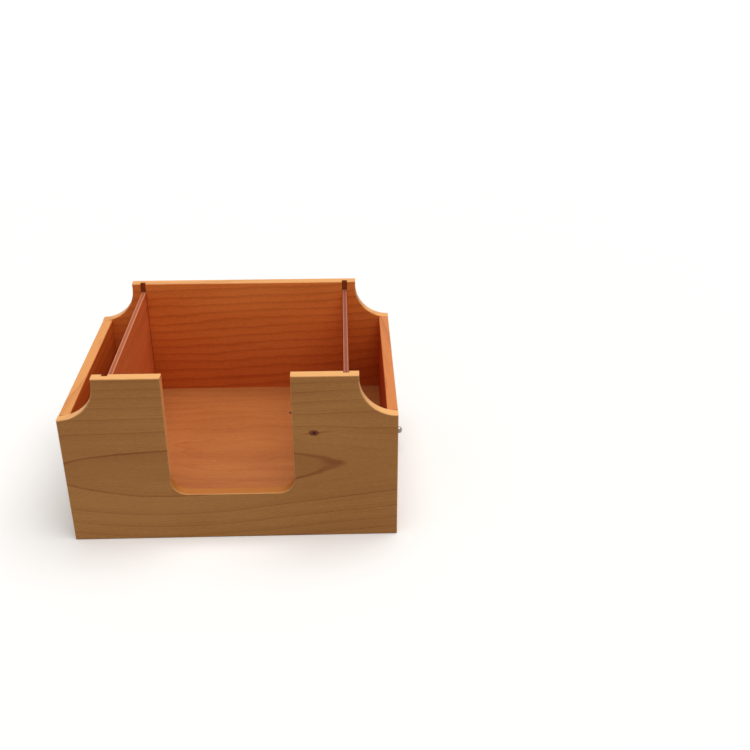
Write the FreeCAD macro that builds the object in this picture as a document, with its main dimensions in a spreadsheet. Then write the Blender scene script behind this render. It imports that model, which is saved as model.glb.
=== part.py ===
import FreeCAD, Part
import math
import os
import Sketcher

# A wooden bar caddy: an open-topped box with two lift-out dividers,
# a high front and back with coved shoulders, a U cut-out in the front,
# and a shallow drawer that pulls out of the right side.
# X runs to the right, the front faces -Y, Z is up, and the box stands on Z = 0.

os.makedirs("parts", exist_ok=True)
doc = FreeCAD.newDocument("bar_caddy")

# Sizes in millimetres
SIZES = [
    ("box_width", 200.0, "outside, left to right"),
    ("box_depth", 144.0, "outside, front to back"),
    ("board_thickness", 6.5, "front, back, sides, drawer front and front guide"),
    ("side_height", 86.0, "top of the two side boards"),
    ("cove_radius", 23.0, "quarter-round shoulder of the front and back"),
    ("shoulder_rise", 4.0, "short straight edge above each cove"),
    ("cutout_width", 74.5, "U cut-out in the front"),
    ("cutout_corner_radius", 10.0, "lower corners of the cut-out"),
    ("sill_above_floor", 2.0, "bottom of the cut-out above the compartment floor"),
    ("arris_radius", 0.7, "sanded edges of the boards"),
    ("base_thickness", 4.0, "plywood underneath the drawer"),
    ("drawer_space_height", 22.5, "between the base and the compartment floor"),
    ("floor_thickness", 4.0, "plywood floor of the three compartments"),
    ("groove_depth", 2.5, "rabbets and grooves that hold the two plywood panels"),
    ("groove_end_gap", 0.3, "play of a panel's edge at the bottom of its groove"),
    ("side_compartment_width", 22.5, "side board to the near face of a divider"),
    ("divider_thickness", 3.0, "three-ply divider"),
    ("divider_side_play", 0.15, "slot wall to divider, each side"),
    ("divider_end_play", 0.25, "slot bottom to divider end, each end"),
    ("divider_below_top", 6.5, "top of the front and back down to the divider's top"),
    ("divider_arris", 0.4, "sanded top edges of a divider"),
    ("slot_depth", 2.5, "divider slots in the front and back"),
    ("window_width", 60.0, "drawer opening in the right side"),
    ("rear_guide_width", 7.5, "strip between the drawer opening and the back"),
    ("drawer_side_play", 0.4, "drawer to the edge of its opening, each side"),
    ("drawer_gap_below", 0.2, "drawer front to the base"),
    ("drawer_gap_above", 0.4, "drawer front to the compartment floor"),
    ("drawer_top_play", 1.0, "drawer sides to the compartment floor"),
    ("drawer_end_play", 0.3, "drawer back to the left side when shut"),
    ("drawer_wall", 3.2, "drawer sides and drawer back"),
    ("drawer_bottom_thickness", 2.5, "plywood bottom of the drawer"),
    ("drawer_front_lip", 3.0, "wood left in front of the rabbets of the drawer front"),
    ("drawer_travel", 120.0, "how far the drawer pulls out"),
    ("stop_pin_radius", 0.7, "brad that stops the drawer"),
    ("stop_pin_head_radius", 1.3, "its head"),
    ("stop_pin_head_height", 0.6, "its head"),
    ("stop_pin_catch", 2.0, "how far the brad reaches below the top of the drawer back"),
    ("stop_pin_play", 0.1, "brad to drawer back when the drawer is fully out"),
    ("thread_radius", 1.0, "screw that holds the knob"),
    ("screw_hole_play", 0.1, "screw to its hole in the drawer front"),
    ("screw_head_overhang", 1.0, "head radius less thread radius"),
    ("screw_head_height", 1.3, "pan head"),
    ("screw_slot_width", 0.5, "driver slot"),
    ("screw_slot_depth", 0.6, "driver slot"),
    ("knob_hole_depth", 3.2, "threaded hole in the knob"),
    ("knob_hole_end_gap", 0.4, "screw end to the end of that hole"),
    ("knob_neck_wall", 0.7, "neck radius less thread radius"),
    ("knob_ball_overhang", 0.7, "ball radius less neck radius"),
    ("knob_foot_overhang", 1.8, "foot radius less neck radius"),
    ("knob_foot_thickness", 1.0, "flat rim of the foot"),
    ("knob_foot_taper", 0.6, "bevel from the foot to the neck"),
    ("knob_projection", 8.8, "drawer front to the tip of the knob"),
    ("dowel_radius", 1.5, "corner dowels"),
    ("dowel_clear_of_drawer", 1.5, "dowel end in a side board to the drawer opening"),
    ("dowel_skin", 2.2, "wood left outside a dowel hole in the front or back"),
    ("dowel_end_gap", 0.3, "dowel end to the bottom of its hole"),
    ("dowel_chamfer", 0.4, "bevelled dowel ends"),
    ("dowel_top_margin", 10.75, "top of a side board down to the highest dowel"),
    ("pin_radius", 0.5, "drawer corner pins and drawer bottom brads"),
    ("pin_fit", 0.02, "shank of a dowel, pin or screw to its tight hole"),
    ("corner_pin_length", 10.0, "pin through a drawer side"),
    ("bottom_brad_length", 8.0, "brad up through the drawer bottom"),
]

sheet = doc.addObject("Spreadsheet::Sheet", "Sizes")
sheet.Label = "Sizes"
for row, (alias, size, meaning) in enumerate(SIZES, start=1):
    sheet.set("A%d" % row, meaning)
    sheet.set("B%d" % row, str(size))
    sheet.setAlias("B%d" % row, alias)
doc.recompute()


def named(alias):
    return "Sizes." + alias


def add(*terms):
    return "(" + " + ".join(terms) + ")"


def less(first, *others):
    return "(" + " - ".join((first,) + others) + ")"


def half(term):
    return "(" + term + " / 2)"


def minus(term):
    return "(-1 * " + term + ")"


def part_of(fraction, term):
    return "(%s * %s)" % (fraction, term)


def number(formula):
    return float(sheet.evalExpression(formula))


# Heights and half sizes that several boards share
BOARD = named("board_thickness")
HALF_WIDTH = half(named("box_width"))
HALF_DEPTH = half(named("box_depth"))
INNER_X = less(HALF_WIDTH, BOARD)
INNER_Y = less(HALF_DEPTH, BOARD)
SIDE_TOP = named("side_height")
COVE_TOP = add(SIDE_TOP, named("cove_radius"))
PANEL_TOP = add(COVE_TOP, named("shoulder_rise"))
BASE_TOP = named("base_thickness")
FLOOR_UNDERSIDE = add(BASE_TOP, named("drawer_space_height"))
FLOOR_TOP = add(FLOOR_UNDERSIDE, named("floor_thickness"))
SILL = add(FLOOR_TOP, named("sill_above_floor"))
GROOVED_X = add(INNER_X, named("groove_depth"))
GROOVED_Y = add(INNER_Y, named("groove_depth"))
PANEL_EDGE_X = less(GROOVED_X, named("groove_end_gap"))
PANEL_EDGE_Y = less(GROOVED_Y, named("groove_end_gap"))

# The drawer opening, measured forward from the back
WINDOW_REAR = less(INNER_Y, named("rear_guide_width"))
WINDOW_FRONT = less(WINDOW_REAR, named("window_width"))
DRAWER_MIDDLE = half(add(WINDOW_REAR, WINDOW_FRONT))
DRAWER_HALF = less(half(named("window_width")), named("drawer_side_play"))
DRAWER_INSIDE_HALF = less(DRAWER_HALF, named("drawer_wall"))
DRAWER_LEFT_END = less(named("drawer_end_play"), INNER_X)
DRAWER_BACK_INSIDE = add(DRAWER_LEFT_END, named("drawer_wall"))
RABBET_END = less(HALF_WIDTH, named("drawer_front_lip"))
DRAWER_FLOOR = add(BASE_TOP, named("drawer_bottom_thickness"))
DRAWER_SIDE_TOP = less(FLOOR_UNDERSIDE, named("drawer_top_play"))
DRAWER_SIDE_HEIGHT = less(DRAWER_SIDE_TOP, DRAWER_FLOOR)
DRAWER_FRONT_FOOT = add(BASE_TOP, named("drawer_gap_below"))
DRAWER_FRONT_TOP = less(FLOOR_UNDERSIDE, named("drawer_gap_above"))
KNOB_HEIGHT = half(add(DRAWER_FRONT_FOOT, DRAWER_FRONT_TOP))
STOP_PIN_X = add(DRAWER_BACK_INSIDE, named("drawer_travel"),
                 named("stop_pin_radius"), named("stop_pin_play"))

# Corner dowels: three at each corner, the lowest beside the drawer
DOWEL_X = less(HALF_WIDTH, half(BOARD))
DOWEL_LOW = half(add(BASE_TOP, FLOOR_UNDERSIDE))
DOWEL_HIGH = less(SIDE_TOP, named("dowel_top_margin"))
DOWEL_MIDDLE = half(add(DOWEL_LOW, DOWEL_HIGH))
DOWEL_HEIGHTS = (DOWEL_LOW, DOWEL_MIDDLE, DOWEL_HIGH)
DOWEL_INTO_SIDE = less(named("rear_guide_width"), named("dowel_clear_of_drawer"))
DOWEL_HOLE_RADIUS = add(named("dowel_radius"), named("pin_fit"))
PIN_HOLE_RADIUS = add(named("pin_radius"), named("pin_fit"))

# Pins of the drawer: two at each corner, and a row of brads under each side
PIN_FRACTIONS = (0.25, 0.75)
BRAD_FRACTIONS = (-0.8, -0.27, 0.27, 0.8)
CORNER_PIN_HEIGHTS = tuple(
    add(DRAWER_FLOOR, part_of(fraction, DRAWER_SIDE_HEIGHT)) for fraction in PIN_FRACTIONS)
FRONT_PIN_X = half(add(INNER_X, RABBET_END))
BACK_PIN_X = half(add(DRAWER_LEFT_END, DRAWER_BACK_INSIDE))
BRAD_XS = tuple(part_of(fraction, INNER_X) for fraction in BRAD_FRACTIONS)
BRAD_INTO_WOOD = less(named("bottom_brad_length"), named("drawer_bottom_thickness"))
PIN_INTO_WOOD = less(named("corner_pin_length"), named("drawer_wall"))

# Dividers stand at a fixed distance from the side boards
DIVIDER_X = less(INNER_X, named("side_compartment_width"), half(named("divider_thickness")))

PLANE_ROLES = {"XY": "XY_Plane", "XZ": "XZ_Plane", "YZ": "YZ_Plane"}
AXIS_ROLES = {"X": "X_Axis", "Y": "Y_Axis", "Z": "Z_Axis"}
SAME = 0.001
nodes = []


def place(piece, x="0", y="0", z="0"):
    piece.setExpression("Placement.Base.x", x)
    piece.setExpression("Placement.Base.y", y)
    piece.setExpression("Placement.Base.z", z)


def new_body(name):
    body = doc.addObject("PartDesign::Body", name)
    body.Label = name
    nodes.append(body)
    return body


def origin_feature(body, role):
    for feature in body.Origin.OriginFeatures:
        if feature.Role == role:
            return feature
    raise ValueError(role)


def new_sketch(body, plane, name, offset="0"):
    sketch = body.newObject("Sketcher::SketchObject", body.Name + "_" + name)
    sketch.AttachmentSupport = [(origin_feature(body, PLANE_ROLES[plane]), "")]
    sketch.MapMode = "FlatFace"
    sketch.setExpression("AttachmentOffset.Base.z", offset)
    return sketch


def hold(sketch, kind, geometry, corner, formula):
    # One distance from the sketch's own zero point to a corner of its geometry
    rule = Sketcher.Constraint(kind, -1, 1, geometry, corner, number(formula))
    index = sketch.addConstraint(rule)
    sketch.setExpression("Constraints[%d]" % index, formula)


def rectangle(sketch, left, right, bottom, top):
    low = FreeCAD.Vector(number(left), number(bottom), 0)
    high = FreeCAD.Vector(number(right), number(top), 0)
    corners = [
        low,
        FreeCAD.Vector(high.x, low.y, 0),
        high,
        FreeCAD.Vector(low.x, high.y, 0),
    ]
    first = sketch.GeometryCount
    for step in range(4):
        line = Part.LineSegment(corners[step], corners[(step + 1) % 4])
        sketch.addGeometry(line)
    for step in range(4):
        following = first + (step + 1) % 4
        sketch.addConstraint(Sketcher.Constraint("Coincident", first + step, 2, following, 1))
    for step in (0, 2):
        sketch.addConstraint(Sketcher.Constraint("Horizontal", first + step))
    for step in (1, 3):
        sketch.addConstraint(Sketcher.Constraint("Vertical", first + step))
    hold(sketch, "DistanceX", first, 1, left)
    hold(sketch, "DistanceY", first, 1, bottom)
    hold(sketch, "DistanceX", first + 2, 1, right)
    hold(sketch, "DistanceY", first + 2, 1, top)


def circle(sketch, x, y, radius):
    centre = FreeCAD.Vector(number(x), number(y), 0)
    up = FreeCAD.Vector(0, 0, 1)
    index = sketch.addGeometry(Part.Circle(centre, up, number(radius)))
    hold(sketch, "DistanceX", index, 3, x)
    hold(sketch, "DistanceY", index, 3, y)
    rule = sketch.addConstraint(Sketcher.Constraint("Radius", index, number(radius)))
    sketch.setExpression("Constraints[%d]" % rule, radius)


def pad(body, sketch, name, length, backwards=False, centred=False):
    feature = body.newObject("PartDesign::Pad", body.Name + "_" + name)
    feature.Profile = sketch
    feature.setExpression("Length", length)
    feature.Reversed = backwards
    feature.Midplane = centred
    return finish_feature(body, sketch, feature)


def pocket(body, sketch, name, length, backwards=False):
    feature = body.newObject("PartDesign::Pocket", body.Name + "_" + name)
    feature.Profile = sketch
    feature.setExpression("Length", length)
    feature.Reversed = backwards
    before = body.Shape.Volume
    finish_feature(body, sketch, feature)
    if body.Shape.Volume >= before:
        raise ValueError(feature.Name + " removes nothing")
    return feature


def finish_feature(body, sketch, feature):
    sketch.Visibility = False
    body.Tip = feature
    doc.recompute()
    return feature


def edges_where(shape, wanted):
    names = []
    for index, edge in enumerate(shape.Edges, start=1):
        if wanted(edge.BoundBox):
            names.append("Edge%d" % index)
    return names


def ease(body, name, radius, wanted, kind="Fillet"):
    # Rounds (or bevels) the edges that the test picks out
    solid = body.Tip
    feature = body.newObject("PartDesign::" + kind, body.Name + "_" + name)
    feature.Base = (solid, edges_where(solid.Shape, wanted))
    feature.setExpression("Radius" if kind == "Fillet" else "Size", radius)
    body.Tip = feature
    doc.recompute()
    return feature


def near(one, other):
    return abs(one - other) < SAME


# Front and back
# Both are built with the outer face on Y = 0 and the wood running towards +Y.
# The back is the same board without the cut-out, turned to face the other way.
def wall_panel(name, with_cutout):
    body = new_body(name)
    outline = new_sketch(body, "XZ", "outline")
    rectangle(outline, minus(HALF_WIDTH), HALF_WIDTH, "0", PANEL_TOP)
    pad(body, outline, "board", BOARD, backwards=True)

    coves = new_sketch(body, "XZ", "cove_circles")
    for side in (minus(HALF_WIDTH), HALF_WIDTH):
        circle(coves, side, COVE_TOP, named("cove_radius"))
    pocket(body, coves, "coves", BOARD)

    shoulders = new_sketch(body, "XZ", "shoulder_outline")
    shoulder_x = less(HALF_WIDTH, named("cove_radius"))
    beyond_x = add(HALF_WIDTH, BOARD)
    beyond_z = add(PANEL_TOP, BOARD)
    rectangle(shoulders, minus(beyond_x), minus(shoulder_x), COVE_TOP, beyond_z)
    rectangle(shoulders, shoulder_x, beyond_x, COVE_TOP, beyond_z)
    pocket(body, shoulders, "shoulders", BOARD)

    if with_cutout:
        cutout = new_sketch(body, "XZ", "cutout_outline")
        half_cutout = half(named("cutout_width"))
        rectangle(cutout, minus(half_cutout), half_cutout, SILL, beyond_z)
        pocket(body, cutout, "cutout", BOARD)
        sill = number(SILL)
        ease(body, "cutout_corners", named("cutout_corner_radius"),
             lambda box: near(box.ZMin, sill) and near(box.ZMax, sill) and near(box.XMin, box.XMax))

    # Sanded edges: the whole outline outside, and above the side boards inside
    thickness = number(BOARD)
    side_top = number(SIDE_TOP)
    inner_edge = number(half(named("cutout_width")))

    def outer_outline(box):
        return near(box.YMin, 0) and near(box.YMax, 0)

    def inner_outline(box):
        at_inner_face = near(box.YMin, thickness) and near(box.YMax, thickness)
        above_sides = box.ZMax > side_top + SAME
        in_cutout = max(abs(box.XMin), abs(box.XMax)) < inner_edge + SAME
        return at_inner_face and (in_cutout or above_sides and not near(box.ZMin, 0))

    ease(body, "sanded_edges", named("arris_radius"),
         lambda box: outer_outline(box) or inner_outline(box))

    # Slots for the dividers, open at the top and ending at the compartment floor.
    # The inner face looks towards +Y, which is the far side of the sketch plane.
    slots = new_sketch(body, "XZ", "slot_outline", minus(BOARD))
    half_slot = add(half(named("divider_thickness")), named("divider_side_play"))
    for side in (minus(DIVIDER_X), DIVIDER_X):
        rectangle(slots, less(side, half_slot), add(side, half_slot), FLOOR_TOP, beyond_z)
    pocket(body, slots, "slots", named("slot_depth"), backwards=True)

    # A rabbet for the base and a stopped groove for the compartment floor
    rabbet = new_sketch(body, "XZ", "base_rabbet_outline", minus(BOARD))
    rectangle(rabbet, minus(GROOVED_X), GROOVED_X, minus(BOARD), BASE_TOP)
    pocket(body, rabbet, "base_rabbet", named("groove_depth"), backwards=True)
    groove = new_sketch(body, "XZ", "floor_groove_outline", minus(BOARD))
    rectangle(groove, minus(GROOVED_X), GROOVED_X, FLOOR_UNDERSIDE, FLOOR_TOP)
    pocket(body, groove, "floor_groove", named("groove_depth"), backwards=True)

    # Blind dowel holes, drilled from the inside
    holes = new_sketch(body, "XZ", "dowel_hole_circles", minus(BOARD))
    for side in (minus(DOWEL_X), DOWEL_X):
        for height in DOWEL_HEIGHTS:
            circle(holes, side, height, DOWEL_HOLE_RADIUS)
    pocket(body, holes, "dowel_holes", less(BOARD, named("dowel_skin")), backwards=True)
    return body


front_panel = wall_panel("front_panel", with_cutout=True)
place(front_panel, y=minus(HALF_DEPTH))
back_panel = wall_panel("back_panel", with_cutout=False)
back_panel.Placement.Rotation = FreeCAD.Rotation(FreeCAD.Vector(0, 0, 1), 180)
place(back_panel, y=HALF_DEPTH)


# Sides
# Both are built with the outer face on X = 0 and the wood running towards +X.
# The right side is the same board turned round, with the drawer opening cut in it.
def side_board(name, with_window):
    body = new_body(name)
    outline = new_sketch(body, "YZ", "outline")
    rectangle(outline, minus(INNER_Y), INNER_Y, "0", SIDE_TOP)
    pad(body, outline, "board", BOARD)

    thickness = number(BOARD)
    top = number(SIDE_TOP)
    ease(body, "sanded_edges", named("arris_radius"),
         lambda box: near(box.ZMin, top) and near(box.ZMax, top) and near(box.XMin, box.XMax)
         or near(box.ZMax, 0) and near(box.XMax, 0))

    rabbet = new_sketch(body, "YZ", "base_rabbet_outline", BOARD)
    rectangle(rabbet, minus(HALF_DEPTH), HALF_DEPTH, minus(BOARD), BASE_TOP)
    pocket(body, rabbet, "base_rabbet", named("groove_depth"))
    groove = new_sketch(body, "YZ", "floor_groove_outline", BOARD)
    rectangle(groove, minus(HALF_DEPTH), HALF_DEPTH, FLOOR_UNDERSIDE, FLOOR_TOP)
    pocket(body, groove, "floor_groove", named("groove_depth"))

    if with_window:
        window = new_sketch(body, "YZ", "window_outline", BOARD)
        rectangle(window, minus(WINDOW_REAR), minus(WINDOW_FRONT), BASE_TOP, FLOOR_UNDERSIDE)
        pocket(body, window, "window", BOARD)

    # Dowel holes in both ends of the board
    depth = add(DOWEL_INTO_SIDE, named("dowel_end_gap"))
    for end, offset, backwards in (("front", INNER_Y, False), ("rear", minus(INNER_Y), True)):
        holes = new_sketch(body, "XZ", end + "_dowel_circles", offset)
        for height in DOWEL_HEIGHTS:
            circle(holes, half(BOARD), height, DOWEL_HOLE_RADIUS)
        pocket(body, holes, end + "_dowel_holes", depth, backwards)
    return body


left_side = side_board("left_side", with_window=False)
place(left_side, x=minus(HALF_WIDTH))
right_side = side_board("right_side", with_window=True)
right_side.Placement.Rotation = FreeCAD.Rotation(FreeCAD.Vector(0, 0, 1), 180)
place(right_side, x=HALF_WIDTH)


# Plywood panels: the base in its rabbets and the compartment floor in its grooves
def plywood_panel(name, thickness):
    body = new_body(name)
    outline = new_sketch(body, "XY", "outline")
    rectangle(outline, minus(PANEL_EDGE_X), PANEL_EDGE_X, minus(PANEL_EDGE_Y), PANEL_EDGE_Y)
    pad(body, outline, "panel", thickness)
    return body


base_panel = plywood_panel("base_panel", named("base_thickness"))
compartment_floor = plywood_panel("compartment_floor", named("floor_thickness"))
place(compartment_floor, z=FLOOR_UNDERSIDE)

# The floor is bored for the drawer's stop brad, whose head lies flush in it
brad_bore = new_sketch(compartment_floor, "XY", "brad_bore_circle", named("floor_thickness"))
circle(brad_bore, STOP_PIN_X, DRAWER_MIDDLE, add(named("stop_pin_radius"), named("pin_fit")))
pocket(compartment_floor, brad_bore, "brad_bore", named("floor_thickness"))
brad_seat = new_sketch(compartment_floor, "XY", "brad_seat_circle", named("floor_thickness"))
circle(brad_seat, STOP_PIN_X, DRAWER_MIDDLE, add(named("stop_pin_head_radius"), named("pin_fit")))
pocket(compartment_floor, brad_seat, "brad_seat", named("stop_pin_head_height"))


# Guide strips beside the drawer, from the base up to the compartment floor
def block(name, left, right, front, rear, height):
    body = new_body(name)
    outline = new_sketch(body, "XY", "outline")
    rectangle(outline, left, right, front, rear)
    pad(body, outline, "board", height)
    return body


drawer_guide_front = block("drawer_guide_front", minus(INNER_X), INNER_X,
                           less(WINDOW_FRONT, BOARD), WINDOW_FRONT, named("drawer_space_height"))
place(drawer_guide_front, z=BASE_TOP)
drawer_guide_rear = block("drawer_guide_rear", minus(INNER_X), INNER_X,
                          WINDOW_REAR, INNER_Y, named("drawer_space_height"))
place(drawer_guide_rear, z=BASE_TOP)


# Dividers, standing on the compartment floor with their ends in the slots
def divider(name, middle_x):
    body = new_body(name)
    reach = less(add(INNER_Y, named("slot_depth")), named("divider_end_play"))
    height = less(PANEL_TOP, named("divider_below_top"), FLOOR_TOP)
    outline = new_sketch(body, "YZ", "outline")
    rectangle(outline, minus(reach), reach, "0", height)
    pad(body, outline, "board", named("divider_thickness"), centred=True)
    top = number(height)
    ease(body, "sanded_edges", named("divider_arris"),
         lambda box: near(box.ZMin, top) and near(box.ZMax, top) and near(box.XMin, box.XMax))
    place(body, x=middle_x, z=FLOOR_TOP)
    return body


left_divider = divider("left_divider", minus(DIVIDER_X))
right_divider = divider("right_divider", DIVIDER_X)

# Drawer front: rabbeted on the inside for the sides and the bottom.
# It is built with the outer face on X = 0 and the wood running towards -X.
drawer_front = new_body("drawer_front")
front_height = less(DRAWER_FRONT_TOP, DRAWER_FRONT_FOOT)
rabbet_depth = less(BOARD, named("drawer_front_lip"))
outline = new_sketch(drawer_front, "YZ", "outline")
rectangle(outline, minus(DRAWER_HALF), DRAWER_HALF, "0", front_height)
pad(drawer_front, outline, "board", BOARD, backwards=True)
ease(drawer_front, "sanded_edges", named("divider_arris"),
     lambda box: near(box.XMin, 0) and near(box.XMax, 0))
end_rabbets = new_sketch(drawer_front, "YZ", "end_rabbet_outlines", minus(BOARD))
beyond_y = add(DRAWER_HALF, BOARD)
beyond_top = add(front_height, BOARD)
rectangle(end_rabbets, minus(beyond_y), minus(DRAWER_INSIDE_HALF), minus(BOARD), beyond_top)
rectangle(end_rabbets, DRAWER_INSIDE_HALF, beyond_y, minus(BOARD), beyond_top)
pocket(drawer_front, end_rabbets, "end_rabbets", rabbet_depth, backwards=True)
foot_rabbet = new_sketch(drawer_front, "YZ", "foot_rabbet_outline", minus(BOARD))
rectangle(foot_rabbet, minus(beyond_y), beyond_y, minus(BOARD),
          less(DRAWER_FLOOR, DRAWER_FRONT_FOOT))
pocket(drawer_front, foot_rabbet, "foot_rabbet", rabbet_depth, backwards=True)
screw_hole = new_sketch(drawer_front, "YZ", "screw_hole_circle")
circle(screw_hole, "0", less(KNOB_HEIGHT, DRAWER_FRONT_FOOT),
       add(named("thread_radius"), named("screw_hole_play")))
pocket(drawer_front, screw_hole, "screw_hole", BOARD)
for end, offset, backwards in (("front", DRAWER_INSIDE_HALF, False),
                               ("rear", minus(DRAWER_INSIDE_HALF), True)):
    holes = new_sketch(drawer_front, "XZ", end + "_pin_circles", offset)
    for height in CORNER_PIN_HEIGHTS:
        circle(holes, less(FRONT_PIN_X, HALF_WIDTH), less(height, DRAWER_FRONT_FOOT),
               PIN_HOLE_RADIUS)
    pocket(drawer_front, holes, end + "_pin_holes", PIN_INTO_WOOD, backwards)
place(drawer_front, x=HALF_WIDTH, y=DRAWER_MIDDLE, z=DRAWER_FRONT_FOOT)


# Drawer sides, lapped over the ends of the drawer front and drawer back
def drawer_side(name, hand):
    body = new_body(name)
    half_wall = half(named("drawer_wall"))
    outline = new_sketch(body, "XZ", "outline")
    rectangle(outline, DRAWER_LEFT_END, RABBET_END, "0", DRAWER_SIDE_HEIGHT)
    pad(body, outline, "board", named("drawer_wall"), centred=True)
    holes = new_sketch(body, "XZ", "pin_circles", half_wall)
    for pin_x in (BACK_PIN_X, FRONT_PIN_X):
        for height in CORNER_PIN_HEIGHTS:
            circle(holes, pin_x, less(height, DRAWER_FLOOR), PIN_HOLE_RADIUS)
    pocket(body, holes, "pin_holes", named("drawer_wall"))
    brads = new_sketch(body, "XY", "brad_circles")
    for brad_x in BRAD_XS:
        circle(brads, brad_x, "0", PIN_HOLE_RADIUS)
    pocket(body, brads, "brad_holes", BRAD_INTO_WOOD, backwards=True)
    middle = less(DRAWER_HALF, half_wall)
    if hand < 0:
        middle = minus(middle)
    place(body, y=add(DRAWER_MIDDLE, middle), z=DRAWER_FLOOR)
    return body


drawer_side_front = drawer_side("drawer_side_front", -1)
drawer_side_rear = drawer_side("drawer_side_rear", 1)

# Drawer back, held between the two sides
drawer_back = new_body("drawer_back")
outline = new_sketch(drawer_back, "YZ", "outline")
rectangle(outline, minus(DRAWER_INSIDE_HALF), DRAWER_INSIDE_HALF, "0", DRAWER_SIDE_HEIGHT)
pad(drawer_back, outline, "board", named("drawer_wall"), centred=True)
for end, offset, backwards in (("front", DRAWER_INSIDE_HALF, False),
                               ("rear", minus(DRAWER_INSIDE_HALF), True)):
    holes = new_sketch(drawer_back, "XZ", end + "_pin_circles", offset)
    for height in CORNER_PIN_HEIGHTS:
        circle(holes, "0", less(height, DRAWER_FLOOR), PIN_HOLE_RADIUS)
    pocket(drawer_back, holes, end + "_pin_holes", PIN_INTO_WOOD, backwards)
brad_hole = new_sketch(drawer_back, "XY", "brad_circle")
circle(brad_hole, "0", "0", PIN_HOLE_RADIUS)
pocket(drawer_back, brad_hole, "brad_hole", BRAD_INTO_WOOD, backwards=True)
place(drawer_back, x=BACK_PIN_X, y=DRAWER_MIDDLE, z=DRAWER_FLOOR)

# Drawer bottom, under the sides and the back, with its brad holes
BRAD_Y = less(DRAWER_HALF, half(named("drawer_wall")))
brad_places = [(BACK_PIN_X, "0")]
for row_y in (minus(BRAD_Y), BRAD_Y):
    for brad_x in BRAD_XS:
        brad_places.append((brad_x, row_y))
drawer_bottom = block("drawer_bottom", DRAWER_LEFT_END, RABBET_END,
                      minus(DRAWER_HALF), DRAWER_HALF, named("drawer_bottom_thickness"))
brads = new_sketch(drawer_bottom, "XY", "brad_circles")
for brad_x, brad_y in brad_places:
    circle(brads, brad_x, brad_y, PIN_HOLE_RADIUS)
pocket(drawer_bottom, brads, "brad_holes", named("drawer_bottom_thickness"), backwards=True)
place(drawer_bottom, y=DRAWER_MIDDLE, z=BASE_TOP)


# Knob: turned in one piece, a flat foot, a thin neck and a ball.
# The screw that holds it is turned the same way, both round the X axis.
def turned(body, name, profile, arc_centre=None, arc_radius=None):
    # The profile is a chain of corners (distance along X, radius) back to the axis.
    # With an arc centre given, the last stretch is an arc that ends on the axis.
    sketch = new_sketch(body, "XY", name)
    points = [FreeCAD.Vector(number(x), number(r), 0) for x, r in profile]
    for start, end in zip(points, points[1:]):
        sketch.addGeometry(Part.LineSegment(start, end))
    for index in range(len(points) - 2):
        sketch.addConstraint(Sketcher.Constraint("Coincident", index, 2, index + 1, 1))
    for index, (x, r) in enumerate(profile[:-1]):
        hold(sketch, "DistanceX", index, 1, x)
        hold(sketch, "DistanceY", index, 1, r)
    last = len(points) - 2
    if arc_centre is None:
        hold(sketch, "DistanceX", last, 2, profile[-1][0])
        hold(sketch, "DistanceY", last, 2, profile[-1][1])
        closing_end = (last, 2)
    else:
        middle = FreeCAD.Vector(number(arc_centre), 0, 0)
        radius = number(arc_radius)
        lift = math.acos((points[-1].x - middle.x) / radius)
        ball = Part.Circle(middle, FreeCAD.Vector(0, 0, 1), radius)
        arc = sketch.addGeometry(Part.ArcOfCircle(ball, 0, lift))
        hold(sketch, "DistanceX", arc, 3, arc_centre)
        sketch.addConstraint(Sketcher.Constraint("PointOnObject", arc, 3, -1))
        sketch.addConstraint(Sketcher.Constraint("Coincident", arc, 2, last, 2))
        hold(sketch, "DistanceY", last, 2, profile[-1][1])
        rule = sketch.addConstraint(Sketcher.Constraint("Radius", arc, radius))
        sketch.setExpression("Constraints[%d]" % rule, arc_radius)
        sketch.addConstraint(Sketcher.Constraint("PointOnObject", arc, 1, -1))
        closing_end = (arc, 1)
    tip = sketch.getPoint(*closing_end)
    closing = sketch.addGeometry(Part.LineSegment(tip, points[0]))
    sketch.addConstraint(Sketcher.Constraint("Coincident", closing, 1, *closing_end))
    sketch.addConstraint(Sketcher.Constraint("Coincident", closing, 2, 0, 1))
    feature = body.newObject("PartDesign::Revolution", body.Name + "_turned")
    feature.Profile = sketch
    feature.ReferenceAxis = (origin_feature(body, AXIS_ROLES["X"]), [""])
    feature.Angle = 360
    return finish_feature(body, sketch, feature)


NECK_RADIUS = add(named("thread_radius"), named("knob_neck_wall"))
BALL_RADIUS = add(NECK_RADIUS, named("knob_ball_overhang"))
FOOT_RADIUS = add(NECK_RADIUS, named("knob_foot_overhang"))
BALL_MIDDLE = less(named("knob_projection"), BALL_RADIUS)
NECK_END = less(BALL_MIDDLE, "sqrt(%s ^ 2 - %s ^ 2)" % (BALL_RADIUS, NECK_RADIUS))
drawer_knob = new_body("drawer_knob")
turned(drawer_knob, "profile", [
    ("0", "0"),
    ("0", FOOT_RADIUS),
    (named("knob_foot_thickness"), FOOT_RADIUS),
    (add(named("knob_foot_thickness"), named("knob_foot_taper")), NECK_RADIUS),
    (NECK_END, NECK_RADIUS),
], BALL_MIDDLE, BALL_RADIUS)
knob_hole = new_sketch(drawer_knob, "YZ", "hole_circle")
circle(knob_hole, "0", "0", add(named("thread_radius"), named("pin_fit")))
pocket(drawer_knob, knob_hole, "hole", named("knob_hole_depth"), backwards=True)
place(drawer_knob, x=HALF_WIDTH, y=DRAWER_MIDDLE, z=KNOB_HEIGHT)

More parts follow.
